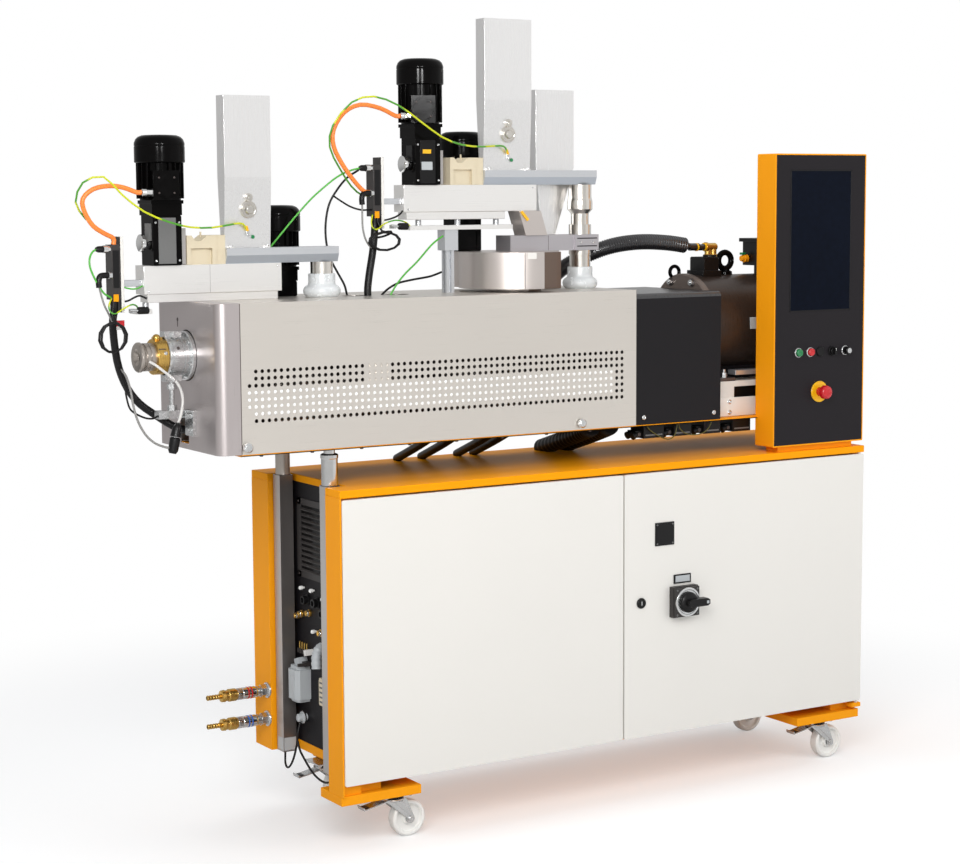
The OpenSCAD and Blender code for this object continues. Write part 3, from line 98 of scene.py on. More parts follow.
class Graph:
    """Adds nodes to one material and links them."""

    def __init__(self, tree: bpy.types.NodeTree) -> None:
        """Start from an empty tree."""
        self.tree = tree
        tree.nodes.clear()

    def add(self, kind: str, inputs: dict | None = None, **settings: object) -> bpy.types.Node:
        """Add a node, link or set its inputs and set its properties.

        Args:
            kind: The node's type without the leading word shared by shader nodes.
            inputs: Sockets by name or number, each with a value or another node's output.
            settings: Properties of the node itself.

        Returns:
            The new node.
        """
        made = self.tree.nodes.new("ShaderNode" + kind)
        for key, value in settings.items():
            setattr(made, key, value)
        for key, value in (inputs or {}).items():
            if isinstance(value, bpy.types.NodeSocket):
                self.tree.links.new(value, made.inputs[key])
            else:
                made.inputs[key].default_value = value
        return made


@dataclass(frozen=True)
class Finish:
    """A surface: its colour, fine texture, gloss and what shows through it."""

    name: str
    color: str
    slot: str
    grain: Grain = Grain.PEEL
    rough: float = 0.4
    spread: float = 0.06
    tint: float = 0.06
    bump: float = 0.08
    metal: float = 0.0
    coat: float = 0.0
    clear: float = 0.0
    shine: float = 0.5
    second: str = ""
    stripe: float = 0.0

    def material(self) -> bpy.types.Material:
        """Build the finish's material once.

        Returns:
            The material, new or built before.
        """
        found = bpy.data.materials.get(self.name)
        if found:
            return found
        made = bpy.data.materials.new(self.name)
        made.use_nodes = True
        made.diffuse_color = linear(self.color)
        graph = Graph(made.node_tree)
        coords = graph.add("TexCoord").outputs["Object"]
        fine_at = graph.add("Mapping", {"Vector": coords, "Scale": self.grain.value}).outputs[0]
        fine = graph.add("TexNoise", {"Vector": fine_at, "Scale": 1.0, "Detail": 3.0}).outputs[0]
        broad = graph.add("TexNoise", {"Vector": coords, "Scale": 2.3, "Detail": 2.0}).outputs[0]
        both = graph.add("Math", {0: fine, 1: broad}, operation="ADD").outputs[0]
        base = Vector(linear(self.color)[:3])
        dark, light = base * (1 - self.tint), base * (1 + self.tint)
        share = graph.add("MapRange", {"Value": both, "From Min": 0.6, "From Max": 1.4}).outputs[0]
        color = self._mix(graph, share, (*dark, 1.0), (*light, 1.0))
        if self.second:
            color = self._stripes(graph, coords, color)
        low, high = self.rough - self.spread, self.rough + self.spread
        rough = graph.add("MapRange", {"Value": fine, "From Min": 0.25, "From Max": 0.75, "To Min": low,
                                       "To Max": high}).outputs[0]
        bump = graph.add("Bump", {"Height": fine, "Strength": self.bump, "Distance": 0.0006}).outputs[0]
        shader = graph.add("BsdfPrincipled", {
            "Base Color": color, "Roughness": rough, "Normal": bump, "Metallic": self.metal,
            "Coat Weight": self.coat, "Coat Roughness": 0.08, "Transmission Weight": self.clear,
            "Specular IOR Level": self.shine}).outputs[0]
        graph.add("OutputMaterial", {"Surface": shader})
        return made

    @staticmethod
    def _mix(graph: Graph, share: bpy.types.NodeSocket, first: object, other: object) -> bpy.types.NodeSocket:
        """Mix two colours.

        Args:
            graph: The material's nodes.
            share: How much of the other colour.
            first: A colour or an output.
            other: A colour or an output.

        Returns:
            The mixed colour's output.
        """
        return graph.add("Mix", {0: share, 6: first, 7: other}, data_type="RGBA").outputs[2]

    def _stripes(self, graph: Graph, coords: bpy.types.NodeSocket,
                 color: bpy.types.NodeSocket) -> bpy.types.NodeSocket:
        """Add bands of the second colour.

        Args:
            graph: The material's nodes.
            coords: The object's coordinates.
            color: The first colour.

        Returns:
            The striped colour's output.
        """
        wave = graph.add("TexWave", {"Vector": coords, "Scale": self.stripe, "Distortion": 1.5},
                         bands_direction="DIAGONAL").outputs[1]
        hard = graph.add("MapRange", {"Value": wave, "From Min": 0.45, "From Max": 0.55}).outputs[0]
        return self._mix(graph, hard, color, linear(self.second))


ORANGE = Finish("orange_powder_coat", "f8a012", "orange_paint", Grain.PEEL, 0.5, 0.04, 0.03, 0.1, shine=0.1)
ORANGE_TOP = Finish("orange_table_coat", "f8a012", "orange_paint", Grain.PEEL, 0.4, 0.04, 0.03, 0.06,
                    shine=0.03)
WHITE = Finish("white_powder_coat", "e5e2dc", "white_paint", Grain.PEEL, 0.36, 0.04, 0.012, 0.08, shine=0.35)
BLACK_GLOSS = Finish("black_enamel", "080707", "black_paint", Grain.SMOOTH, 0.14, 0.04, 0.2, 0.008,
                     shine=0.06)
BLACK_MATT = Finish("black_structured_coat", "141215", "black_sheet", Grain.PEEL, 0.5, 0.06, 0.15, 0.25,
                    shine=0.2)
MOTOR_BROWN = Finish("dark_motor_paint", "3a2f29", "black_paint", Grain.TURNED_X, 0.34, 0.1, 0.3, 0.12, 0.4,
                     shine=0.4)
BLACK_SHEEN = Finish("black_satin_edge", "161518", "black_sheet", Grain.PEEL, 0.3, 0.05, 0.15, 0.06,
                     shine=1.0)
FLANGE = Finish("oiled_flange", "6d615a", "black_paint", Grain.CAST, 0.4, 0.08, 0.15, 0.1, 0.5)
CHARCOAL = Finish("charcoal_coat", "1f1c1f", "charcoal_paint", Grain.PEEL, 0.5, 0.05, 0.1, 0.16, shine=0.15)
CASTING = Finish("pale_casting", "dcd9d3", "grey_casting", Grain.CAST, 0.45, 0.06, 0.05, 0.3, shine=0.35)
SHEET_X = Finish("brushed_sheet_lengthways", "d8d2ca", "stainless", Grain.BRUSH_X, 0.34, 0.08, 0.03, 0.06,
                 0.85)
# The guard's end cap: the same brushed sheet painted darker as shade
SHEET_END_PAINTED_SHADE = Finish("brushed_sheet_end", "bdb5b4", "stainless", Grain.BRUSH_Z, 0.34, 0.08, 0.04, 0.06, 0.9)
SHEET_Z = Finish("brushed_sheet_upright", "c8c0bb", "stainless", Grain.BRUSH_Z, 0.36, 0.08, 0.04, 0.06, 0.8)
# The drum's right part: the same sheet painted darker brown as shade
DRUM_PAINTED_SHADE = Finish("tinted_sheet", "6f5f55", "stainless", Grain.BRUSH_Z, 0.36, 0.08, 0.05, 0.06, 0.8)
PALE_SHEET = Finish("pale_feeder_sheet", "eceae7", "stainless", Grain.BRUSH_X, 0.32, 0.06, 0.02, 0.05, 0.75)
HOPPER_SHEET = Finish("pale_hopper_sheet", "e9e8e7", "stainless", Grain.BRUSH_Z, 0.3, 0.06, 0.025, 0.05, 0.85)
POLISHED = Finish("polished_sheet", "d6d2cb", "stainless", Grain.BRUSH_Z, 0.2, 0.06, 0.04, 0.04, 1.0)
GROUND = Finish("ground_tool_steel", "aba39b", "dark_steel", Grain.TURNED_X, 0.34, 0.08, 0.08, 0.1, 0.8)
DARK_STEEL = Finish("heat_darkened_steel", "5a5250", "dark_steel", Grain.CAST, 0.45, 0.08, 0.2, 0.2, 0.8)
ZINC = Finish("bright_zinc", "cfd0d0", "zinc_steel", Grain.CAST, 0.24, 0.06, 0.06, 0.02, 0.95)
CHROME = Finish("chrome", "e0e0df", "zinc_steel", Grain.SMOOTH, 0.12, 0.04, 0.03, 0.002, 1.0)
# Front faces of the lifting columns: the column's own finish painted darker as shade
COLUMN_PAINTED_SHADE = Finish("shaded_column", "77726f", "zinc_steel", Grain.BRUSH_Z, 0.36, 0.08, 0.08, 0.06, 0.7)
COLUMN = Finish("anodised_column", "b4b0ad", "zinc_steel", Grain.BRUSH_Z, 0.36, 0.08, 0.05, 0.06, 0.7)
ALU = Finish("extruded_aluminium", "c9cbce", "aluminium", Grain.BRUSH_X, 0.34, 0.08, 0.03, 0.05, 0.75)
ALU_DARK = Finish("anodised_aluminium", "b2b8c0", "aluminium", Grain.BRUSH_X, 0.36, 0.08, 0.03, 0.05, 0.7)
ALU_MID = Finish("satin_aluminium", "b4b0b3", "aluminium", Grain.BRUSH_X, 0.36, 0.08, 0.03, 0.05, 0.75)
LINER = Finish("pale_insulation", "f4f3f0", "nylon", Grain.CAST, 0.5, 0.05, 0.02, 0.1, shine=0.3)
BRASS = Finish("turned_brass", "cda75a", "brass", Grain.TURNED_X, 0.28, 0.08, 0.08, 0.06, 0.95)
GLASS = Finish("dark_screen_pane", "070d1a", "screen_glass", Grain.SMOOTH, 0.14, 0.03, 0.3, 0.0, shine=0.06)
NYLON = Finish("white_nylon", "efeeea", "nylon", Grain.MOULD, 0.42, 0.05, 0.02, 0.1)
BEIGE = Finish("beige_resin", "d8cbb0", "beige_plastic", Grain.MOULD, 0.46, 0.06, 0.04, 0.12, shine=0.35)
SILICONE = Finish("clear_silicone", "f3f6f7", "silicone", Grain.SMOOTH, 0.25, 0.05, 0.01, 0.004, clear=0.3)
GREY_PLASTIC = Finish("grey_moulding", "6a6a69", "grey_plastic", Grain.MOULD, 0.42, 0.05, 0.06, 0.12,
                      shine=0.35)
PALE_PLASTIC = Finish("pale_grey_moulding", "b4b8ba", "grey_plastic", Grain.MOULD, 0.42, 0.05, 0.05, 0.1)
MODULE = Finish("dark_grey_module", "353231", "grey_plastic", Grain.MOULD, 0.4, 0.05, 0.1, 0.14, shine=0.3)
BLACK_PLASTIC = Finish("black_moulding", "0f0e0f", "black_plastic", Grain.MOULD, 0.36, 0.06, 0.15, 0.12,
                       shine=0.25)
GREEN = Finish("green_cap", "157a44", "green_plastic", Grain.MOULD, 0.25, 0.04, 0.08, 0.04, coat=0.2)
RED = Finish("red_cap", "c4161f", "red_plastic", Grain.MOULD, 0.25, 0.04, 0.06, 0.04, coat=0.2)
BLUE = Finish("blue_ring", "2b62b8", "grey_plastic", Grain.MOULD, 0.3, 0.04, 0.06, 0.04)
YELLOW = Finish("yellow_disc", "f2b705", "yellow_plastic", Grain.MOULD, 0.32, 0.04, 0.04, 0.05)
ORANGE_CABLE = Finish("orange_cable_sheath", "ff8a3c", "orange_cable", Grain.MOULD, 0.4, 0.05, 0.05, 0.1,
                      shine=0.35)
EARTH = Finish("green_yellow_sheath", "c9cf1c", "earth_cable", Grain.MOULD, 0.38, 0.05, 0.05, 0.08,
               shine=0.35, second="4f9a2c", stripe=6.0)
GREEN_WIRE = Finish("green_wire_sheath", "54b040", "earth_cable", Grain.MOULD, 0.38, 0.05, 0.06, 0.08,
                    shine=0.35)
BLACK_CABLE = Finish("black_rubber", "111011", "black_cable", Grain.MOULD, 0.42, 0.06, 0.15, 0.12, shine=0.25)
GREY_CABLE = Finish("grey_sheath", "8f8d8a", "grey_plastic", Grain.MOULD, 0.4, 0.06, 0.08, 0.2, shine=0.35)
WHITE_CABLE = Finish("white_sheath", "dcdad6", "nylon", Grain.MOULD, 0.4, 0.05, 0.03, 0.1, shine=0.35)
OLIVE_WIRE = Finish("olive_wire_sheath", "5d5a2c", "earth_cable", Grain.MOULD, 0.4, 0.05, 0.06, 0.08,
                    shine=0.3)


class Shape:
    """A mesh in the making, in millimetres from the cabinet's front left floor corner."""

    def __init__(self, name: str) -> None:
        """Start an empty mesh with the piece's name."""
        self.name = name
        self.bm = bmesh.new()
        self.finishes: list[Finish] = []
        self.index = 0

    def paint(self, finish: Finish) -> "Shape":
        """Give a finish to what is added next.

        Args:
            finish: The finish.

        Returns:
            The shape itself.
        """
        if finish not in self.finishes:
            self.finishes.append(finish)
        self.index = self.finishes.index(finish)
        return self

    def _faces(self, faces: Iterable[bmesh.types.BMFace]) -> "Shape":
        """Give new faces the present finish.

        Args:
            faces: The faces.

        Returns:
            The shape itself.
        """
        for f in faces:
            f.material_index = self.index
        return self

    def _grown(self, verts: Iterable[bmesh.types.BMVert]) -> "Shape":
        """Give the faces round new points the present finish."""
        return self._faces({f for v in verts for f in v.link_faces})

    def carry(self, node: str) -> "Shape":
        """Take over a CAD node's surface with its flat faces made whole.

        Args:
            node: The node's name.

        Returns:
            The shape itself.
        """
        self.bm.from_mesh(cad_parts[node].data)
        bmesh.ops.remove_doubles(self.bm, verts=self.bm.verts, dist=WELD)
        bmesh.ops.dissolve_limit(self.bm, angle_limit=FLAT, verts=self.bm.verts, edges=self.bm.edges)
        self.bm.transform(Matrix.Scale(1 / MM, 4) @ Matrix.Translation(-CORNER))
        return self._faces(self.bm.faces)

    def repaint(self, finish: Finish, low: Point, high: Point) -> "Shape":
        """Give a finish to the faces whose middle lies in a box.

        Args:
            finish: The finish.
            low: The box's lowest corner.
            high: Its highest corner.

        Returns:
            The shape itself.
        """
        self.paint(finish)
        spots = [(f, f.calc_center_median()) for f in self.bm.faces]
        return self._faces(f for f, p in spots if all(a <= v <= b for a, v, b in zip(low, p, high)))

    def shift(self, low: Point, high: Point, by: Point) -> "Shape":
        """Move the points that lie in a box.

        Args:
            low: The box's lowest corner.
            high: Its highest corner.
            by: How far along X, Y and Z.

        Returns:
            The shape itself.
        """
        for v in self.bm.verts:
            if all(a <= c <= b for a, c, b in zip(low, v.co, high)):
                v.co += Vector(by)
        return self

    def box(self, low: Point, size: Point) -> "Shape":
        """Add a box.

        Args:
            low: Its lowest corner.
            size: Its lengths along X, Y and Z.

        Returns:
            The shape itself.
        """
        middle = Vector(low) + Vector(size) / 2
        fit = Matrix.Translation(middle) @ Matrix.Diagonal((*size, 1.0))
        return self._grown(bmesh.ops.create_cube(self.bm, size=1.0, matrix=fit)["verts"])

    def rod(self, start: Point, end: Point, r: float, n: int = 32) -> "Shape":
        """Add a straight rod or a prism with n sides.

        Args:
            start: Middle of its first end.
            end: Middle of its other end.
            r: Its radius.
            n: Its number of sides.

        Returns:
            The shape itself.
        """
        a, b = Vector(start), Vector(end)
        turn = (b - a).to_track_quat("Z", "Y").to_matrix().to_4x4()
        made = bmesh.ops.create_cone(self.bm, cap_ends=True, segments=n, radius1=r, radius2=r,
                                     depth=(b - a).length, matrix=Matrix.Translation((a + b) / 2) @ turn)
        return self._grown(made["verts"])

    def lathe(self, at: Point, axis: Point, profile: Sequence[Point], n: int = 48,
              knurl: float = 0.0) -> "Shape":
        """Turn a profile about an axis.

        Args:
            at: Where the axis starts.
            axis: Its direction.
            profile: Pairs of the way along the axis and the radius there.
            n: Steps round the axis.
            knurl: How far every other step lies inwards.

        Returns:
            The shape itself.
        """
        turn = Vector(axis).to_track_quat("Z", "Y").to_matrix()
        rings: list[list[bmesh.types.BMVert]] = []
        for along, r in profile:
            ring = []
            for k in range(n if r else 1):
                a = 2 * math.pi * k / n
                q = r - (knurl if k % 2 and r > knurl else 0.0)
                spot = Vector((math.cos(a) * q, math.sin(a) * q, along))
                ring.append(self.bm.verts.new(Vector(at) + turn @ spot))
            rings.append(ring)
        made = []
        for one, two in zip(rings, rings[1:]):
            for k in range(n):
                m = (k + 1) % n
                quad = [one[k % len(one)], one[m % len(one)], two[m % len(two)], two[k % len(two)]]
                corners = list(dict.fromkeys(quad))
                if len(corners) > 2:
                    made.append(self.bm.faces.new(corners))
        for ring in (rings[0], rings[-1]):
            if len(ring) > 1:
                made.append(self.bm.faces.new(ring))
        return self._faces(made)

    def prism(self, axis: int, low: float, high: float, outline: Sequence[Point]) -> "Shape":
        """Add an upright or lying block with a given outline.

        Args:
            axis: The axis along which the outline is drawn out: 0, 1 or 2.
            low: Where it starts on that axis.
            high: Where it ends on that axis.
            outline: Points in the two other axes, in their order.

        Returns:
            The shape itself.
        """
        ends = []
        for level in (low, high):
            spots = [[*p[:axis], level, *p[axis:]] for p in outline]
            ends.append([self.bm.verts.new(p) for p in spots])
        made = [self.bm.faces.new(ends[0]), self.bm.faces.new(list(reversed(ends[1])))]
        count = len(outline)
        for k in range(count):
            m = (k + 1) % count
            made.append(self.bm.faces.new([ends[0][m], ends[0][k], ends[1][k], ends[1][m]]))
        return self._faces(made)

    def tube(self, route: Sequence[Point], r: float, n: int = 10, bead: float = 0.0) -> "Shape":
        """Add a bent rod along a route.

        Args:
            route: Points of its middle line.
            r: Its radius.
            n: Steps round it.
            bead: How far every other ring lies inwards.

        Returns:
            The shape itself.
        """
        line = [Vector(p) for p in route]
        side = (line[1] - line[0]).orthogonal().normalized()
        rings = []
        for i, p in enumerate(line):
            ahead = (line[min(i + 1, len(line) - 1)] - line[max(i - 1, 0)]).normalized()
            side = (side - ahead * side.dot(ahead)).normalized()
            other = ahead.cross(side)
            q = r - (bead if i % 4 > 1 else 0.0)
            rings.append([self.bm.verts.new(p + q * (side * math.cos(a) + other * math.sin(a)))
                          for a in (2 * math.pi * k / n for k in range(n))])
        made = [self.bm.faces.new(rings[0]), self.bm.faces.new(rings[-1])]
        for one, two in zip(rings, rings[1:]):
            for k in range(n):
                m = (k + 1) % n
                made.append(self.bm.faces.new([one[k], one[m], two[m], two[k]]))
        return self._faces(made)

    def mark(self) -> int:
        """Count the points so far."""
        return len(self.bm.verts)

    def turned(self, since: int, at: Point, degrees: float, axis: str = "Z") -> "Shape":
        """Turn what was added since a mark.

        Args:
            since: The mark.
            at: A point on the axis.
            degrees: How far.
            axis: The axis's letter.

        Returns:
            The shape itself.
        """
        self.bm.verts.ensure_lookup_table()
        bmesh.ops.rotate(self.bm, cent=at, matrix=Matrix.Rotation(math.radians(degrees), 3, axis),
                         verts=self.bm.verts[since:])
        return self

    def screw(self, at: Point, axis: Point, r: float, h: float) -> "Shape":
        """Add a round screw head with a socket.

        Args:
            at: Middle of its seat.
            axis: Where it points.
            r: Its radius.
            h: Its height.

        Returns:
            The shape itself.
        """
        profile = [(-h / 2, r), (h * 0.5, r), (h * 0.85, r * 0.86), (h, r * 0.6), (h, r * 0.42),
                   (h * 0.4, r * 0.4), (h * 0.4, 0)]
        return self.lathe(at, axis, profile, 20)

    def done(self, body: str = "machine", bevel: float = 0.8, nodes: Sequence[str] = ()) -> bpy.types.Object:
        """Make the piece: shade it, round its edges and let it ride on a body.

        Args:
            body: The body it moves with.
            bevel: Radius of its edges, zero for none.
            nodes: The CAD nodes that it stands for.

        Returns:
            The piece.
        """
        bmesh.ops.recalc_face_normals(self.bm, faces=self.bm.faces)
        self.bm.transform(Matrix.Translation(CORNER) @ Matrix.Scale(MM, 4))
        mesh = bpy.data.meshes.new(self.name)
        self.bm.to_mesh(mesh)
        self.bm.free()
        mesh.shade_smooth()
        mesh.set_sharp_from_angle(angle=SHARP)
        for finish in self.finishes:
            mesh.materials.append(finish.material())
        made = bpy.data.objects.new(self.name, mesh)
        bpy.context.scene.collection.objects.link(made)
        if bevel:
            edge = made.modifiers.new("edges", "BEVEL")
            edge.width, edge.segments, edge.limit_method = bevel * MM, 2, "ANGLE"
            edge.angle_limit = SHARP
            flat = made.modifiers.new("flats", "WEIGHTED_NORMAL")
            flat.keep_sharp = True
        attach(made, body)
        if nodes:
            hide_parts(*nodes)
        LOG.info("%s on %s, %d faces", self.name, body, len(mesh.polygons))
        return made


def dress(node: str, finish: Finish) -> None:
    """Give a CAD node that stays as it is its finish.

    Args:
        node: The node's name.
        finish: The finish.
    """
    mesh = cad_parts[node].data
    mesh.materials.clear()
    mesh.materials.append(finish.material())
    LOG.info("%s keeps its form", node)


def copy(node: str, finish: Finish, bevel: float) -> None:
    """Stand in for a CAD node of the machine's own body by its surface with rounded edges."""
    Shape(node + "_skin").paint(finish).carry(node).done(bevel=bevel, nodes=[node])


def smooth(route: Sequence[Point], count: int) -> list[Vector]:
    """Draw a smooth line through a route's points.

    Args:
        route: The points.
        count: Steps between two of them.

    Returns:
        Points close together, the first and last as given.
    """
    knots = [Vector(p) for p in route]
    knots = [2 * knots[0] - knots[1], *knots, 2 * knots[-1] - knots[-2]]
    line = []
    for a, b, c, d in zip(knots, knots[1:], knots[2:], knots[3:]):
        for k in range(count):
            t = k / count
            line.append(0.5 * (2 * b + (c - a) * t + (2 * a - 5 * b + 4 * c - d) * t * t
                               + (3 * b - a - 3 * c + d) * t ** 3))
    return [*line, knots[-2]]


@dataclass
class Studio:
    """Camera, light, backdrop and floor."""

    eye: Point = (-2513.29, -4747.81, 1710.57)
    yaw: float = 31.74
    pitch: float = 6.38
    roll: float = -0.31
    lens: float = 79.198
    lamps: Sequence[tuple[str, Point, Point, float, float]] = (
        ("key", (-2.7, -3.4, 3.2), (0.0, 0.0, 1.0), 2.4, 138.0),
        ("fill", (2.8, -3.4, 2.2), (0.3, 0.0, 0.9), 2.4, 42.0),
        ("top", (0.2, 0.3, 4.6), (0.0, 0.0, 0.0), 3.0, 50.0))
    sparks: Sequence[tuple[str, Point]] = (("glint_left", (-3.7, -4.3, 2.6)),
                                           ("glint_right", (-2.1, -5.4, 2.6)))
    spark_aim: Point = (-0.4, 0.0, 1.8)
    spark_size: float = 0.5
    spark_power: float = 130.0
    ambient: float = 0.46
    floor_r: float = 6.0
    floor_tone: float = 0.72
    veil: float = 0.36
    fade: Point = (1.3, 3.0)

    def camera(self) -> None:
        """Set the camera at the photograph's place."""
        yaw, pitch, roll = (math.radians(a) for a in (self.yaw, self.pitch, self.roll))
        ahead = Vector((math.sin(yaw) * math.cos(pitch), math.cos(yaw) * math.cos(pitch), -math.sin(pitch)))
        right = Vector((math.cos(yaw), -math.sin(yaw), 0.0))
        up = right.cross(ahead)
        turned = right * math.cos(roll) + up * math.sin(roll)
        upper = up * math.cos(roll) - right * math.sin(roll)
        data = bpy.data.cameras.new("camera")
        data.lens, data.sensor_width = self.lens, 36.0
        cam = bpy.data.objects.new("camera", data)
        bpy.context.scene.collection.objects.link(cam)
        turn = Matrix((turned, upper, -ahead)).transposed().to_4x4()
        cam.matrix_world = Matrix.Translation(place(self.eye)) @ turn
        bpy.context.scene.camera = cam

    def lamp(self, name: str, at: Point, aim: Point, size: float, power: float, mirrored: bool) -> None:
        """Add one large soft lamp.

        Args:
            name: Its name.
            at: Its place in metres.
            aim: What it looks at in metres.
            size: Its width in metres.
            power: Its power in watts.
            mirrored: Whether glossy faces show it.
        """
        data = bpy.data.lights.new(name, "AREA")
        data.size, data.energy = size, power
        made = bpy.data.objects.new(name, data)
        bpy.context.scene.collection.objects.link(made)
        made.location = at
        made.rotation_euler = (Vector(aim) - Vector(at)).to_track_quat("-Z", "Y").to_euler()
        made.visible_glossy = mirrored

    def glints(self) -> None:
        """Set two small lamps that show only as crisp lights in gloss."""
        for name, at in self.sparks:
            self.lamp(name, at, self.spark_aim, self.spark_size, self.spark_power, True)
            bpy.data.objects[name].visible_diffuse = False

    def light(self) -> None:
        """Set the lamps."""
        self.glints()
        for name, at, aim, size, power in self.lamps:
            self.lamp(name, at, aim, size, power, False)

    def backdrop(self) -> None:
        """Set a world that is white to the camera and pale in metal."""
        world = bpy.data.worlds.new("studio")
        bpy.context.scene.world = world
        world.use_nodes = True
        graph = Graph(world.node_tree)
        path = graph.add("LightPath").outputs
        up = graph.add("SeparateXYZ", {0: graph.add("TexCoord").outputs["Generated"]}).outputs
        height = graph.add("MapRange", {"Value": up[2], "From Min": -0.3, "From Max": 0.04, "To Min": 0.45,
                                        "To Max": 1.0}, interpolation_type="SMOOTHSTEP").outputs[0]
        depth = graph.add("MapRange", {"Value": up[1], "From Min": -0.2, "From Max": 0.7, "To Min": 1.0,
                                       "To Max": 0.7}).outputs[0]
        aside = graph.add("MapRange", {"Value": up[0], "From Min": 0.36, "From Max": 0.54, "To Min": 0.76,
                                       "To Max": 1.0}).outputs[0]
        both = graph.add("Math", {0: height, 1: depth}, operation="MULTIPLY").outputs[0]
        level = graph.add("Math", {0: both, 1: aside}, operation="MULTIPLY").outputs[0]
        shine = graph.add("Background", {"Color": (1, 1, 1, 1), "Strength": level}).outputs[0]
        ambient = graph.add("Background", {"Color": (0.95, 0.97, 1, 1), "Strength": self.ambient}).outputs[0]
        white = graph.add("Background", {"Color": (1, 1, 1, 1), "Strength": 1.0}).outputs[0]
        either = graph.add("Math", {0: path["Is Glossy Ray"], 1: path["Is Transmission Ray"]},
                           operation="MAXIMUM").outputs[0]
        lit = graph.add("MixShader", {0: either, 1: ambient, 2: shine}).outputs[0]
        seen = graph.add("MixShader", {0: path["Is Camera Ray"], 1: lit, 2: white}).outputs[0]
        graph.add("OutputWorld", {"Surface": seen})

    def floor(self) -> None:
        """Lay a pale floor that fades into the backdrop and keeps the shadow."""
        bm = bmesh.new()
        bmesh.ops.create_circle(bm, cap_ends=True, segments=96, radius=self.floor_r)
        mesh = bpy.data.meshes.new("floor")
        bm.to_mesh(mesh)
        bm.free()
        made = bpy.data.objects.new("floor", mesh)
        bpy.context.scene.collection.objects.link(made)
        coat = bpy.data.materials.new("pale_floor")
        coat.use_nodes = True
        graph = Graph(coat.node_tree)
        coords = graph.add("TexCoord").outputs["Object"]
        far = graph.add("VectorMath", {0: coords}, operation="LENGTH").outputs["Value"]
        away = graph.add("MapRange", {"Value": far, "From Min": self.fade[0], "From Max": self.fade[1]},
                         interpolation_type="SMOOTHSTEP").outputs[0]
        path = graph.add("LightPath").outputs
        grey = graph.add("BsdfDiffuse", {"Color": (*[self.floor_tone] * 3, 1)}).outputs[0]
        veil = graph.add("Math", {0: path["Is Camera Ray"], 1: self.veil}, operation="MULTIPLY").outputs[0]
        glow = graph.add("Emission", {"Color": (1, 1, 1, 1), "Strength": veil}).outputs[0]
        near = graph.add("AddShader", {0: grey, 1: glow}).outputs[0]
        white = graph.add("Emission", {"Color": (1, 1, 1, 1), "Strength": 1.0}).outputs[0]
        faded = graph.add("MixShader", {0: away, 1: near, 2: white}).outputs[0]
        graph.add("OutputMaterial", {"Surface": faded})
        mesh.materials.append(coat)


@dataclass(frozen=True)
class Wire:
    """A thin lead: its name, diameter, sheath and route."""

    name: str
    dia: float
    sheath: Finish
    route: Sequence[Point]


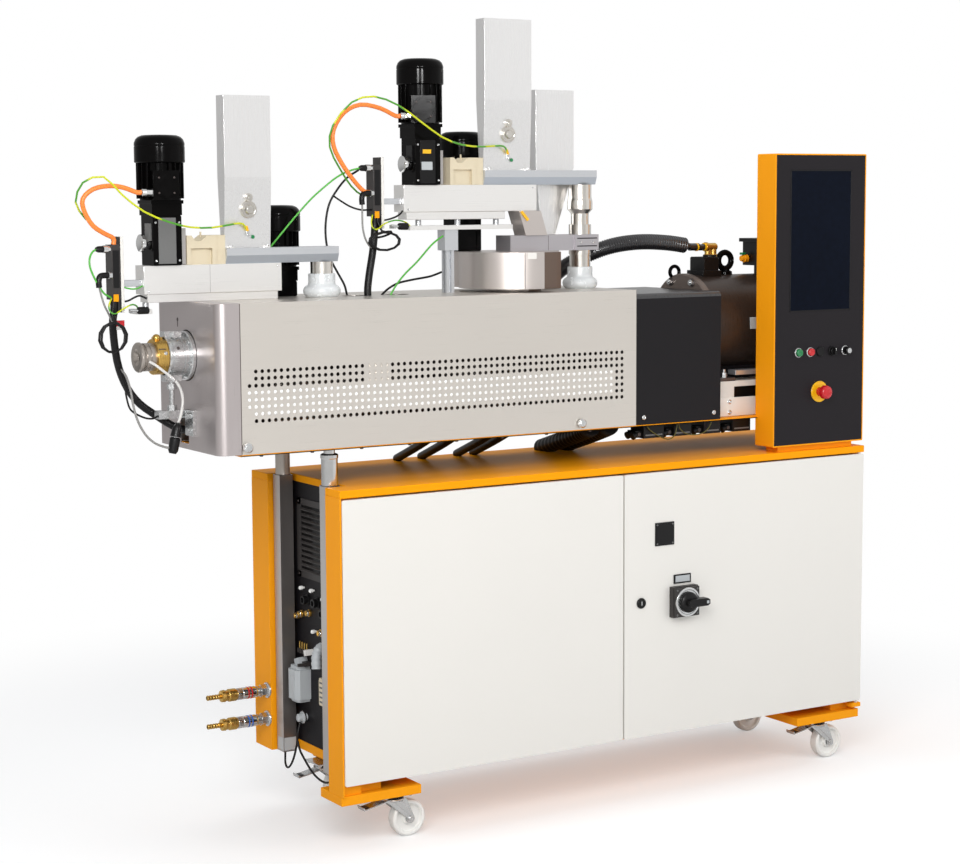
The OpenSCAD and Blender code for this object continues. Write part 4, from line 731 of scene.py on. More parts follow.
@dataclass
class Cords:
    """All cables and hoses. One that stands for a CAD cord keeps the route of the part's source."""

    cable_a: Sequence[Point] = (
        (-437, 208, 1724), (-450, 211, 1724), (-484, 213, 1736), (-522, 213, 1740), (-562, 216, 1732),
        (-588, 220, 1708), (-583, 223, 1676), (-560, 228, 1642), (-526, 238, 1622), (-500, 246, 1610),
        (-500, 246, 1594))
    cable_b: Sequence[Point] = (
        (318, 224, 1925), (304, 230, 1925), (256, 226, 1944), (194, 222, 1952), (143, 220, 1930),
        (113, 222, 1885), (114, 224, 1842), (139, 227, 1798), (174, 233, 1757), (208, 242, 1728),
        (226, 248, 1722), (239, 248, 1722))
    earth_a: Sequence[Point] = (
        (-498, 263, 1594), (-498, 263, 1610), (-536, 256, 1632), (-574, 242, 1660), (-606, 222, 1700),
        (-596, 196, 1748), (-550, 176, 1762), (-505, 170, 1718), (-450, 164, 1676), (-385, 164, 1650),
        (-320, 178, 1636), (-250, 200, 1634), (-180, 222, 1642), (-150, 230, 1642), (-132, 242, 1622))
    earth_b: Sequence[Point] = (
        (239, 263, 1714), (218, 263, 1714), (180, 252, 1738), (140, 240, 1784), (99, 218, 1840),
        (102, 204, 1896), (148, 184, 1956), (210, 176, 1972), (280, 170, 1950), (345, 164, 1908),
        (410, 164, 1868), (480, 176, 1848), (560, 200, 1844), (630, 222, 1848), (654, 230, 1842),
        (668, 242, 1824))
    loom_a: Sequence[Point] = (
        (-500, 252, 1456), (-500, 252, 1430), (-499, 266, 1398), (-488, 285, 1340), (-472, 300, 1280),
        (-448, 305, 1226), (-415, 305, 1184), (-370, 300, 1150), (-332, 291, 1124), (-300, 287, 1112),
        (-270, 285, 1108))
    loom_b: Sequence[Point] = (
        (250, 252, 1657), (250, 252, 1625), (240, 246, 1565), (226, 241, 1505), (220, 240, 1466),
        (220, 240, 1446))
    conduit: Sequence[Point] = (
        (1376, 260, 1556), (1340, 260, 1556), (1240, 264, 1570), (1140, 274, 1574), (1050, 292, 1562),
        (975, 330, 1530), (930, 366, 1496), (908, 386, 1466), (908, 386, 1446))
    thin: Sequence[Wire] = (
        Wire("grey_lead", 6, GREY_CABLE, (
            (-471, 297, 1277), (-469, 270, 1267), (-471, 244, 1250), (-471, 226, 1224), (-469, 220, 1195),
            (-463, 218, 1166), (-452, 216, 1136), (-434, 214, 1108), (-411, 212, 1089), (-386, 211, 1079),
            (-371, 211, 1076))),
        Wire("black_strand", 5, BLACK_CABLE, (
            (-474, 299, 1289), (-476, 276, 1266), (-476, 254, 1238), (-476, 242, 1206), (-466, 240, 1176),
            (-433, 243, 1156), (-405, 250, 1150), (-388, 254, 1155))),
        Wire("signal_wire_left", 5, GREEN_WIRE, (
            (-511, 246, 1583), (-528, 246, 1583), (-544, 245, 1583), (-557, 243, 1577), (-566, 240, 1562),
            (-567, 238, 1542), (-559, 238, 1519), (-544, 239, 1492), (-529, 241, 1472), (-510, 244, 1462))),
        Wire("grey_lead_left", 5, GREY_CABLE, (
            (-511, 242, 1518), (-526, 242, 1518), (-539, 241, 1514), (-544, 240, 1502), (-542, 240, 1486),
            (-538, 240, 1468), (-530, 241, 1443), (-521, 244, 1427), (-513, 249, 1414), (-504, 257, 1402))),
        Wire("earth_strap_left", 4, EARTH, (
            (-440, 240, 1430), (-447, 236, 1440), (-463, 230, 1443), (-486, 228, 1433), (-507, 228, 1422),
            (-519, 231, 1428), (-520, 236, 1443), (-510, 243, 1460))),
        Wire("short_wire_left", 4, GREEN_WIRE, (
            (-478, 246, 1488), (-466, 242, 1484), (-452, 240, 1482), (-438, 241, 1484), (-426, 244, 1489))),
        Wire("sensor_wire_left", 5, BLACK_CABLE, (
            (-478, 246, 1450), (-466, 236, 1454), (-454, 231, 1461), (-441, 231, 1465), (-429, 235, 1462),
            (-416, 242, 1457))),
        Wire("signal_wire_right", 5, GREEN_WIRE, (
            (238, 246, 1786), (219, 246, 1786), (200, 246, 1785), (166, 244, 1777), (134, 246, 1762),
            (102, 252, 1738), (69, 270, 1705), (31, 290, 1658), (-14, 302, 1604), (-40, 298, 1578),
            (-48, 290, 1568))),
        Wire("black_lead_right", 6, BLACK_CABLE, (
            (203, 252, 1781), (180, 276, 1760), (160, 296, 1728), (140, 304, 1690), (129, 304, 1640),
            (130, 304, 1590), (142, 304, 1545), (164, 303, 1505), (182, 302, 1474), (190, 302, 1446))),
        Wire("grey_lead_right", 5, GREY_CABLE, (
            (238, 242, 1719), (223, 242, 1719), (210, 241, 1715), (205, 240, 1703), (206, 240, 1687),
            (206, 240, 1657), (206, 238, 1627), (211, 235, 1600), (222, 236, 1582), (236, 244, 1573))),
        Wire("branch_wire_right", 5, BLACK_CABLE, (
            (152, 300, 1712), (168, 280, 1696), (184, 262, 1683), (208, 250, 1675), (239, 250, 1675))),
        Wire("earth_strap_right", 4, EARTH, (
            (352, 240, 1631), (338, 236, 1640), (318, 230, 1645), (296, 228, 1646), (268, 228, 1638),
            (245, 228, 1623), (233, 231, 1627), (231, 236, 1642), (239, 243, 1662))),
        Wire("sensor_wire_right", 5, BLACK_CABLE, (
            (271, 250, 1646), (286, 240, 1649), (306, 234, 1656), (320, 235, 1664), (332, 243, 1672))),
        Wire("signal_wire_rear", 5, GREEN_WIRE, (
            (459, 244, 1602), (436, 240, 1590), (414, 238, 1574), (372, 236, 1534), (335, 236, 1503),
            (308, 237, 1474), (290, 240, 1446))),
        Wire("black_wire_rear", 6, BLACK_CABLE, (
            (459, 254, 1503), (436, 252, 1496), (413, 250, 1491), (359, 248, 1484), (317, 248, 1476),
            (288, 249, 1462), (268, 250, 1446))),
        Wire("foot_lead_back", 6, BLACK_CABLE, (
            (45, 326, 288), (34, 320, 268), (29, 318, 244), (28, 323, 220), (28, 334, 194), (28, 349, 169),
            (28, 367, 150), (29, 386, 143), (31, 400, 152), (33, 404, 172), (33, 402, 193))),
        Wire("foot_lead_front", 6, BLACK_CABLE, (
            (29, 319, 232), (29, 309, 214), (29, 296, 201), (30, 274, 185), (30, 245, 168), (30, 215, 157),
            (30, 185, 152), (30, 157, 153), (31, 132, 162), (33, 119, 178), (33, 116, 193))),
        Wire("base_wire_left", 3, OLIVE_WIRE, (
            (1041, 95, 1057), (1050, 95, 1046), (1064, 95, 1036), (1088, 95, 1022), (1108, 95, 1015),
            (1123, 95, 1013), (1137, 95, 1019), (1146, 95, 1034), (1150, 95, 1057))),
        Wire("base_wire_right", 3, OLIVE_WIRE, (
            (1153, 92, 1057), (1156, 92, 1045), (1165, 92, 1034), (1184, 92, 1024), (1207, 92, 1020),
            (1230, 92, 1021), (1249, 92, 1027), (1264, 92, 1039), (1273, 92, 1057))))

    def run(self, name: str, route: Sequence[Point], dia: float, finish: Finish, nodes: Sequence[str] = (),
            pieces: Sequence[bpy.types.Object] = ()) -> None:
        """Lay one round cord along a route.

        Args:
            name: The piece's name.
            route: Its points.
            dia: Its diameter.
            finish: Its sheath.
            nodes: The CAD nodes that it stands for.
            pieces: Separate pieces on it; not used.
        """
        line = [place(p) for p in smooth(route, max(1, CORD_STEPS // (len(route) - 1)))]
        data = bpy.data.curves.new(name, "CURVE")
        data.dimensions, data.bevel_depth, data.bevel_resolution = "3D", dia / 2 * MM, 4
        data.use_fill_caps = True
        spline = data.splines.new("POLY")
        spline.points.add(len(line) - 1)
        for knot, p in zip(spline.points, line):
            knot.co = (*p, 1.0)
        spline.use_smooth = True
        data.materials.append(finish.material())
        made = bpy.data.objects.new(name, data)
        bpy.context.scene.collection.objects.link(made)
        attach(made, "machine")
        if nodes:
            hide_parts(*nodes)

    def hose(self) -> None:
        """Lay the corrugated hose from the motor's box into the guard."""
        line = smooth(self.conduit, 52)
        thick = [p for p in line if p.x < 1300]
        neck = [p for p in line if p.x > 1292]
        made = Shape("corrugated_hose").paint(BLACK_SHEEN).tube(thick, 23.0, 20, 2.0).tube(neck, 9.5, 16)
        made.lathe((1316, 260, 1556.8), RIGHT, [(0, 9), (0, 11), (34, 11), (34, 9)], 24)
        for x in (1340, 1369):
            made.paint(YELLOW).lathe((x, 260, 1556), RIGHT, [(0, 9), (0, 12), (5, 12), (5, 9)], 24)
        piece = made.done("machine", 0.0, ["motor_conduit"])

    def coil(self, start: Sequence[Point], middle: Point, reach: Point, end: Sequence[Point]) -> list[Point]:
        """Route a lead that hangs in two round turns.

        Args:
            start: Points before the turns.
            middle: The turns' middle.
            reach: Half their width and height.
            end: Points after the turns.

        Returns:
            The whole route.
        """
        x, y, z = middle
        wide, high = reach
        steps = [math.radians(30 * k + 20) for k in range(24)]
        turns = [(x + (wide - a) * math.sin(a) - 0.9 * a, y - 2.4 * a, z + high * math.cos(a)) for a in steps]
        return [*start, *turns, *end]

    def probe(self) -> None:
        """Lay the white probe lead from the nose into its two-part plug."""
        plug = Shape("probe_plug").paint(BLACK_PLASTIC)
        top = Vector((-351, 211, 1140))
        down = Vector((-17, 0, -78)).normalized()
        plug.lathe(top, down, [(0, 0), (0, 6), (6, 8), (14, 12), (36, 14), (37, 11.5), (40, 11.5), (41, 14),
                               (72, 13), (80, 9), (80, 0)], 28)
        plug.paint(ZINC).lathe(top, down, [(36.4, 11.6), (36.4, 14.3), (37.6, 14.3), (37.6, 11.6)], 28)
        joint = Vector((-370, 210, 1259))
        plug.paint(CHROME).lathe(joint, Vector((12, 0, -12)),
                                 [(0, 0), (0, 4.5), (2, 5.6), (14, 5.6), (17, 4.5), (17, 0)], 24, 0.3)
        route = ((-419, 226, 1298), (-408, 216, 1290), (-395, 211, 1279), (-370, 210, 1259),
                 (-352, 210, 1242), (-341, 210, 1221), (-337, 210, 1197), (-340, 210, 1174),
                 (-345, 210, 1154), (-352, 211, 1136))
        self.run("probe_lead", route, 7, WHITE_CABLE,
                 pieces=[plug.done(bevel=0.4)])

    def thin_wires(self) -> None:
        """Lay the thin leads of the die and of both feeders."""
        self.probe()
        for wire in self.thin:
            self.run(wire.name, wire.route, wire.dia, wire.sheath)
        start = ((-506, 241, 1456), (-508, 238, 1440), (-512, 235, 1420), (-512, 233, 1406))
        end = ((-519, 205, 1402), (-514, 222, 1414), (-506, 240, 1416), (-500, 248, 1412))
        left = self.coil(start, (-513, 235, 1363), (41, 37), end)
        self.run("coiled_lead_left", left, 6, BLACK_CABLE)
        start = ((252, 244, 1657), (254, 240, 1640), (258, 236, 1626), (262, 233, 1618))
        end = ((263, 203, 1617), (276, 209, 1617), (284, 220, 1614), (283, 234, 1609), (274, 244, 1604),
               (261, 249, 1601), (248, 250, 1600))
        right = self.coil(start, (266, 232, 1591), (52, 24), end)
        self.run("coiled_lead_right", right, 6, BLACK_CABLE)

    def build(self) -> None:
        """Lay every cord."""
        self.run("motor_cable_left", self.cable_a, 12, ORANGE_CABLE, ["motor_cable_a"])
        self.run("motor_cable_right", self.cable_b, 12, ORANGE_CABLE, ["motor_cable_b"])
        self.run("earth_wire_left", self.earth_a, 5, EARTH, ["earth_wire_a"])
        self.run("earth_wire_right", self.earth_b, 5, EARTH, ["earth_wire_b"])
        self.run("loom_left", self.loom_a, 20, BLACK_CABLE, ["loom_a"])
        self.run("loom_right", self.loom_b, 20, BLACK_CABLE, ["loom_b"])
        self.hose()
        self.thin_wires()


@dataclass
class Undercarriage:
    """Caster beams, floor, plates, forks and wheels."""

    swivels: dict[str, Point] = field(default_factory=lambda: {
        "fl": (185, 70), "fr": (1660, 70), "bl": (185, 450), "br": (1660, 450)})
    trail: float = 43.0
    crown: float = 111.0
    wheel_r: float = 50.0
    pedal_z: float = 103.0
    pedal_l: float = 62.0
    pedal_tilt: float = 12.0
    plate_z: float = 122.0
    beam_z: float = 127.0
    beam_h: float = 25.0

    def plates(self) -> None:
        """Mounting plates with their races, seals and bolts."""
        made = Shape("caster_mounting_plates")
        for x, y in self.swivels.values():
            made.paint(ZINC).box((x - 47, y - 40, self.plate_z), (94, 80, 5))
            made.lathe((x, y, self.plate_z), DOWN, [(-1, 31), (3, 31), (5, 29), (8, 27), (8, 0)])
            for dx in (-37, 37):
                for dy in (-30, 30):
                    made.rod((x + dx, y + dy, 122.5), (x + dx, y + dy, 117), 6, 6)
            made.paint(BLACK_PLASTIC).lathe((x, y, 117), DOWN,
                                            [(0, 31), (1, 31.6), (2.4, 31.6), (3, 30), (3, 0)])
        made.done(nodes=["caster_plates"])

    def fork(self, key: str) -> None:
        """Pressed fork with ribbed cheeks, axle bolt and brake pedal.

        Args:
            key: Which caster.
        """
        x, y = self.swivels[key]
        top, wx, wz = self.crown, x + self.trail, self.wheel_r
        made = Shape("pressed_fork_" + key).paint(ZINC)
        made.lathe((x, y, top - 5), UP, [(-4, 20), (-3, 29), (1, 32), (5, 30), (5, 12), (7.5, 12), (7.5, 0)])
        steps = [math.radians(d) for d in range(20, -201, -20)]
        arc = [(wx + 12 * math.cos(a), wz + 12 * math.sin(a)) for a in steps]
        for side in (-1, 1):
            low, high = sorted((y + side * 19, y + side * 23))
            made.prism(1, low, high, [(x - 32, top - 4), (x - 30, top - 1), (x + 30, top - 1), *arc])
            out = y + side * 22.5
            made.prism(1, min(out, out + side * 2.5), max(out, out + side * 2.5),
                       [(x - 8, top - 8), (x + 18, top - 8), (wx + 5, wz + 12), (wx - 5, wz + 12)])
            made.rod((wx, y + side * 20, wz), (wx, y + side * 28, wz), 9, 6)
            made.rod((wx, y + side * 20, wz), (wx, y + side * 30, wz), 5, 16)
        made.rod((wx, y - 22, wz), (wx, y + 22, wz), 6, 20)
        lean, reach = math.radians(self.pedal_tilt), self.pedal_l
        ax, az = x - 32 + 6 * math.cos(lean), self.pedal_z
        bx, bz = x - 32 - reach * math.cos(lean), self.pedal_z - reach * math.sin(lean)
        made.prism(1, y - 18, y + 18,
                   [(ax, az), (ax, az + 4), (bx, bz + 4), (bx - 3, bz + 10), (bx - 6, bz + 9), (bx - 3, bz)])
        made.paint(BLACK_PLASTIC).box((bx + 4, y - 15, bz + 4), (26, 30, 3))
        made.done("swivel_" + key, 0.8, ["caster_fork_" + key])

    def wheel(self, key: str) -> None:
        """White wheel with a dished web, ribs and a bearing.

        Args:
            key: Which caster.
        """
        x, y = self.swivels[key]
        profile = [(-16, 6.6), (-16, 15), (-14.5, 17), (-8, 18), (-6, 20), (-6, 35), (-9, 38), (-15, 39),
                   (-16, 41), (-16, 45), (-13, 49), (-8, 50), (8, 50), (13, 49), (16, 45), (16, 41), (15, 39),
                   (9, 38), (6, 35), (6, 20), (8, 18), (14.5, 17), (16, 15), (16, 6.6)]
        at = (x + self.trail, y, self.wheel_r)
        made = Shape("nylon_wheel_" + key).paint(NYLON).lathe(at, (0, 1, 0), [*profile, profile[0]])
        for k in range(8):
            a = math.radians(45 * k + 10)
            c, s = math.cos(a), math.sin(a)
            made.rod((at[0] + 17 * c, y, at[2] + 17 * s), (at[0] + 37 * c, y, at[2] + 37 * s), 4.5, 4)
        made.paint(GREY_PLASTIC).lathe((at[0], y - 16, at[2]), (0, 1, 0),
                                       [(0, 6.7), (0, 12), (1, 12), (1, 6.7)])
        made.done("wheel_" + key, 0.0, ["caster_wheel_" + key])

    def beams(self) -> None:
        """Caster beams with their steps, the left one cut out between the posts."""
        made = Shape("stepped_caster_beams").paint(ORANGE)
        for x, y, wide, deep in ((0, 10, 240, 120), (172, 130, 68, 380), (1540, 10, 240, 500)):
            made.box((x, y, self.beam_z), (wide, deep, self.beam_h))
        for x, y in ((63, 35), (172, 410), (1690, 35), (1690, 410)):
            made.box((x, y, 151), (68, 90, 22))
        made.done(bevel=1.5, nodes=["caster_beams"])

    def build(self) -> None:
        """Build the undercarriage."""
        self.beams()
        floor = Shape("cabinet_floor_skin").paint(ORANGE).carry("cabinet_floor")
        floor.shift((60, 0, 170), (66, 520, 185), (109, 0, 0)).done(nodes=["cabinet_floor"])
        self.plates()
        for key in self.swivels:
            self.fork(key)
            self.wheel(key)


@dataclass
class Cabinet:
    """Painted cabinet with its fixed panels, the hinged door and what is on it."""

    blank: Point = (1002, 725)
    lock: Point = (954, 567)
    switch: Point = (1098, 560)

    def fittings(self) -> None:
        """Blank plate, lock, plain carrier and the base of the main switch."""
        x, z = self.blank
        made = Shape("door_fittings_detail").paint(BLACK_PLASTIC)
        made.box((x, -3, z), (66, 3.5, 66)).box((x + 4, -4, z + 4), (58, 2, 58))
        for dx in (6, 60):
            for dz in (6, 60):
                made.paint(GREY_PLASTIC).screw((x + dx, -3.6, z + dz), FRONT, 2.6, 1.6)
        x, z = self.lock
        made.paint(BLACK_PLASTIC).lathe((x, 0.5, z), FRONT,
                                        [(0, 15), (4, 15), (6, 13), (6, 8), (4.5, 8), (4.5, 0)])
        made.paint(ZINC).box((x - 1.5, -5.4, z - 6), (3, 2, 12))
        x, z = self.switch
        made.paint(MODULE).box((x - 44, -18, z - 44), (88, 18.5, 88)).box((x - 42, -27, z - 42), (84, 10, 84))
        made.paint(BLACK_PLASTIC).box((x - 30, -3, z + 51), (60, 3.5, 26))
        made.paint(PALE_PLASTIC).box((x - 25, -4, z + 55), (50, 2, 18))
        ring = [(0, 42), (4, 42), (5, 41), (5, 36), (3.5, 35), (3.5, 0)]
        made.paint(ZINC).lathe((x, -26, z), FRONT, ring, 64)
        for k in range(4):
            a = math.radians(45 + 90 * k)
            made.paint(GREY_PLASTIC).screw((x + 50 * math.cos(a), -26.6, z + 50 * math.sin(a)), FRONT, 3, 2)
        made.done("door", 1.0, ["door_fittings"])

    def handle(self) -> None:
        """Domed hub and grip of the main switch."""
        x, z = self.switch
        made = Shape("switch_grip").paint(BLACK_PLASTIC)
        made.lathe((x, -31.5, z), FRONT, [(0, 30), (5, 30), (9, 27), (12, 20), (13, 0)])
        made.prism(1, -59, -34, [(x - 16, z - 6), (x - 16, z + 6), (x - 8, z + 11), (x + 50, z + 11),
                                 (x + 58, z + 6), (x + 58, z - 6), (x + 50, z - 11), (x - 8, z - 11)])
        made.paint(PALE_PLASTIC).box((x + 44, -59.3, z - 5), (10, 3, 10))
        made.done("main_switch", 2.5, ["switch_handle"])

    def build(self) -> None:
        """Build the cabinet."""
        ends = Shape("cabinet_ends_skin").paint(ORANGE).carry("cabinet_ends")
        ends.shift((-1, 419, 150), (64, 521, 154), (0, 0, 36)).done(bevel=1.5, nodes=["cabinet_ends"])
        copy("cabinet_top", ORANGE_TOP, bevel=1.5)
        copy("fixed_panels", WHITE, bevel=1.6)
        dress("service_door", WHITE)
        self.fittings()
        self.handle()


@dataclass
class ConnectorRecess:
    """Left end: black plate with a grille, columns, plugs and sockets."""

    columns: Sequence[float] = (118.0, 392.0)
    tubes: Sequence[float] = (22.0, 20.0)
    grille: Point = (150.0, 681.0, 215.0, 217.0)
    slots: int = 12
    face: float = 63.0
    axis: float = 33.0
    crown: float = 957.0

    def plate(self) -> None:
        """Black plate with a framed grille of sloping bars."""
        y, z, wide, high = self.grille
        made = Shape("recess_plate").paint(BLACK_MATT).box((self.face, 82, 219), (6, 338, 721))
        made.paint(ORANGE).box((61, 82, 196), (10, 338, 24))
        made.paint(MODULE)
        for low, size in (((60, y, z), (3.5, wide, 16)), ((60, y, z + high - 18), (3.5, wide, 18)),
                          ((60, y, z), (3.5, 24, high)), ((60, y + wide - 24, z), (3.5, 24, high))):
            made.box(low, size)
        step = (high - 34) / self.slots
        for k in range(self.slots):
            low = z + 16 + step * k
            made.prism(1, y + 22, y + wide - 22,
                       [(62.8, low + 1), (57, low + 1), (57, low + 3), (62.8, low + 8)])
        made.paint(BLACK_GLOSS).box((62.4, y + 22, z + 14), (1, wide - 44, high - 30))
        for dy, dz in ((12, 8), (wide - 12, 8), (12, high - 9), (wide - 12, high - 9)):
            made.paint(DARK_STEEL).screw((60, y + dy, z + dz), LEFT, 3.5, 2)
        made.done(bevel=0.3, nodes=["connector_panel"])

    def posts(self) -> None:
        """Square lifting columns, their front faces painted darker as shade, with their round tubes and ram.
        """
        made = Shape("lifting_columns")
        for y, r in zip(self.columns, self.tubes):
            made.paint(COLUMN).box((13, y - 20, 190), (40, 40, 769))
            # The front faces are painted darker as shade
            made.repaint(COLUMN_PAINTED_SHADE, (14, y - 20.2, 189), (52, y - 19.8, 960))
            made.paint(DARK_STEEL).lathe((self.axis, y, self.crown + 1.8), UP,
                                         [(0, r), (0, r + 2), (1.4, r + 2), (1.4, r)])
        front, back = self.columns
        made.paint(GROUND).lathe((self.axis, back, self.crown), UP,
                                 [(0, 0), (0, self.tubes[1]), (100, self.tubes[1]), (100, 0)])
        r = self.tubes[0]
        ram = [(0, 0), (0, r), (74, r), (75, r + 1.6), (84, r + 1.6), (87, r - 2), (87, 15), (100, 15),
               (100, 0)]
        made.paint(CHROME).lathe((self.axis, front, self.crown), UP, ram)
        made.paint(PALE_PLASTIC).box((15, 371.4, 194), (36, 1, 36)).box((12.4, 376, 196), (1, 30, 34))
        made.done(nodes=["support_columns"])

    def hood(self, made: Shape) -> None:
        """Grey connector hood with its lever.

        Args:
            made: The shape it is added to.
        """
        made.paint(PALE_PLASTIC).prism(2, 348, 430,
                                       [(20, 350), (20, 312), (30, 300), (63, 300), (63, 358), (26, 358)])
        made.prism(2, 430, 440, [(26, 348), (26, 314), (34, 305), (63, 305), (63, 353), (31, 353)])
        made.prism(2, 340, 349, [(27, 347), (27, 316), (34, 307), (63, 307), (63, 351), (31, 351)])
        made.box((18.6, 318, 352), (2, 26, 60))
        made.paint(MODULE).box((44, 296, 440), (18, 66, 12)).box((24, 298, 442), (22, 6, 8))

    def sockets(self) -> None:
        """Hood, plugs, knobs, valves and round sockets of the plate."""
        made = Shape("recess_plugs")
        self.hood(made)
        made.paint(BEIGE).box((33, 150, 357), (30, 44, 74)).box((30, 154, 361), (6, 36, 66))
        for k in range(5):
            made.paint(GREY_PLASTIC).box((29.4, 158, 366 + 13 * k), (2, 28, 5))
        for y, z in ((333, 652), (273, 653), (265, 542), (206, 640)):
            made.paint(NYLON).lathe((self.face, y, z), LEFT,
                                    [(0, 3), (5, 3), (6, 5.5), (13, 5.5), (15, 4), (15, 0)], 24)
        for y, z in ((311, 622), (252, 622), (206, 600)):
            made.paint(BLACK_PLASTIC).lathe((self.face, y, z), LEFT,
                                            [(0, 15), (5, 15), (6, 12), (18, 12), (18, 8), (8, 7), (8, 0)], 32)
        for y, z in ((366, 570), (345, 578), (299, 587), (230, 544)):
            made.paint(BRASS).lathe((self.face, y, z), LEFT,
                                    [(0, 10), (5, 10), (5, 7.5), (14, 7.5), (14, 5.5), (9, 5), (9, 0)], 28)
            made.paint(CHROME).lathe((56, y, z), LEFT, [(0, 8), (3, 8.6), (4, 8), (4, 7)], 28, 0.4)
        for y in (352, 338, 324, 310):
            made.paint(BRASS).rod((57, y, 478), (57, y, 500), 1.8, 12)
            made.rod((55, y, 500), (59, y, 500), 1.4, 10)
            made.paint(MODULE).box((51, y - 5, 470), (12, 10, 12))
        bend = smooth([(60, 225, 506), (46, 221, 500), (38, 217, 482), (36, 213, 452)], 8)
        made.paint(PALE_PLASTIC).tube(bend, 14, 20, 1.2)
        since = made.mark()
        made.box((36, 318, 446), (26, 30, 20)).paint(WHITE_CABLE).box((40, 276, 465), (22, 15, 16))
        made.turned(since, (50, 310, 460), -18, "X")
        gland = [(0, 10), (8, 10), (8, 16), (14, 16), (15, 12), (26, 11), (28, 8), (28, 0)]
        made.paint(PALE_PLASTIC).lathe((62, 328, 293), LEFT, gland, 32)
        made.paint(CHROME).lathe((54, 328, 293), LEFT, [(0, 17), (4, 17.6), (5, 16)], 40, 0.6)
        made.done(bevel=0.6, nodes=["recess_connectors"])

    def build(self) -> None:
        """Build the recess."""
        self.plate()
        self.posts()
        self.sockets()


@dataclass
class ProcessUnit:
    """Barrel, its perforated guard, base plate and the blocks under it."""

    front: float = 69.0
    knobs: Sequence[float] = (-226.0, 796.0)
    first: Point = (-198.0, 1147.0)
    pitch: float = 18.0
    pale_rows: Sequence[int] = (1, 5)
    long_rows: Sequence[int] = (2, 3, 4, 5)
    pale_columns: int = 62
    under: float = 1057.0

    def blocks(self) -> None:
        """Connector blocks under the base plate, and the sleeves and trunks that lead back from it."""
        made = Shape("gap_blocks")
        for x, wide in ((1001, 105), (1109, 96), (1217, 94), (1323, 100)):
            made.paint(BLACK_PLASTIC).box((x + 34, 100, 1019), (wide - 34, 64, 38.5))
            made.box((x + 14, 112, 1021), (22, 40, 20))
            for dy in (0, 26):
                made.lathe((x + 17, 114 + dy, 1031), (-1, 0, -0.35),
                           [(0, 9), (8, 9), (9, 11), (15, 11), (16, 7), (16, 0)], 20)
            made.paint(DARK_STEEL).rod((x + 25, 113, 1031), (x + 25, 108, 1031), 6, 6)
            made.paint(GREY_PLASTIC).box((x + 40, 98.6, 1026), (wide - 46, 2, 4))
        made.paint(BLACK_CABLE)
        for x in (400, 480, 600, 655):
            bend = [(x, 215, self.under), (x + 5, 240, 1046), (x + 18, 330, 1014), (x + 40, 480, 965)]
            made.tube(smooth(bend, 8), 12, 16)
            made.lathe((x, 215, self.under + 0.4), DOWN, [(0, 17), (8, 17), (10, 13), (10, 0)], 24)
        for x in (890, 955):
            bend = [(x, 150, self.under), (x + 5, 180, 1046), (x + 15, 300, 1010), (x + 30, 460, 966)]
            made.tube(smooth(bend, 30), 25, 20, 2.0)
        for x in range(-180, 980, 145):
            made.paint(DARK_STEEL).screw((x, 82, self.under), DOWN, 5, 3)
        made.done(bevel=0.5, nodes=["base_connectors"])

    def fittings(self) -> None:
        """Knurled screws that hold the guard's front sheet."""
        # Zinc is named first, so that it is the piece's first material
        made = Shape("guard_knobs").paint(ZINC)
        made.paint(DARK_STEEL).box((-240.9, 68.5, 1064), (1.8, 1.4, 381))
        made.box((984.6, 69.4, 1064), (1.6, 1.4, 380))
        made.box((-302.3, 311, 1378), (1, 4, 20))
        made.lathe((-301.6, 313, 1397), LEFT, [(0, 5), (0.8, 5), (0.8, 0)], 24)
        made.paint(ZINC)
        for x in self.knobs:
            made.lathe((x, self.front, 1081), FRONT,
                       [(0, 8), (3, 8), (3, 12), (4, 13), (11, 13), (12, 12), (14, 9), (14, 0)], 48, 0.7)
        made.done(bevel=0.0, nodes=["steel_fittings"])

    def bumps(self) -> None:
        """Pale insulation that bulges into the middle rows of perforations."""
        made = Shape("insulation_bumps").paint(LINER)
        for row in range(*self.pale_rows):
            for k in range(-1 if row in self.long_rows else 0, self.pale_columns):
                made.lathe((self.first[0] + self.pitch * k, 70.2, self.first[1] + self.pitch * row), FRONT,
                           [(0, 4.9), (0.8, 4.6), (1.5, 3.4), (1.9, 1.8), (2.1, 0)], 14)
        made.done(bevel=0.0)

    def build(self) -> None:
        """Build the process unit."""
        self.bumps()
        plate = Shape("base_plate_skin").paint(ORANGE)
        plate.prism(0, -240, 1780,
                    [(71, 1063), (71, 1060.4), (78, 1057), (442, 1057), (449, 1060.4), (449, 1063)])
        # The plate's underside and lower chamfers are painted black: painted shade under the plate
        plate.repaint(BLACK_MATT, (-300, 60, 1056), (1790, 460, 1059.5)).done(bevel=0.4, nodes=["base_plate"])
        dress("cover_front", SHEET_X)
        shell = Shape("cover_shell_skin").paint(SHEET_X).carry("cover_shell")
        shell.repaint(LINER, (-235, 71.2, 1100), (980, 74, 1330)).done(bevel=0.4, nodes=["cover_shell"])
        # The end cap is painted darker than the front sheet as shade
        copy("cover_end_cap", SHEET_END_PAINTED_SHADE, bevel=0.4)
        dress("barrel", DARK_STEEL)
        self.blocks()
        self.fittings()


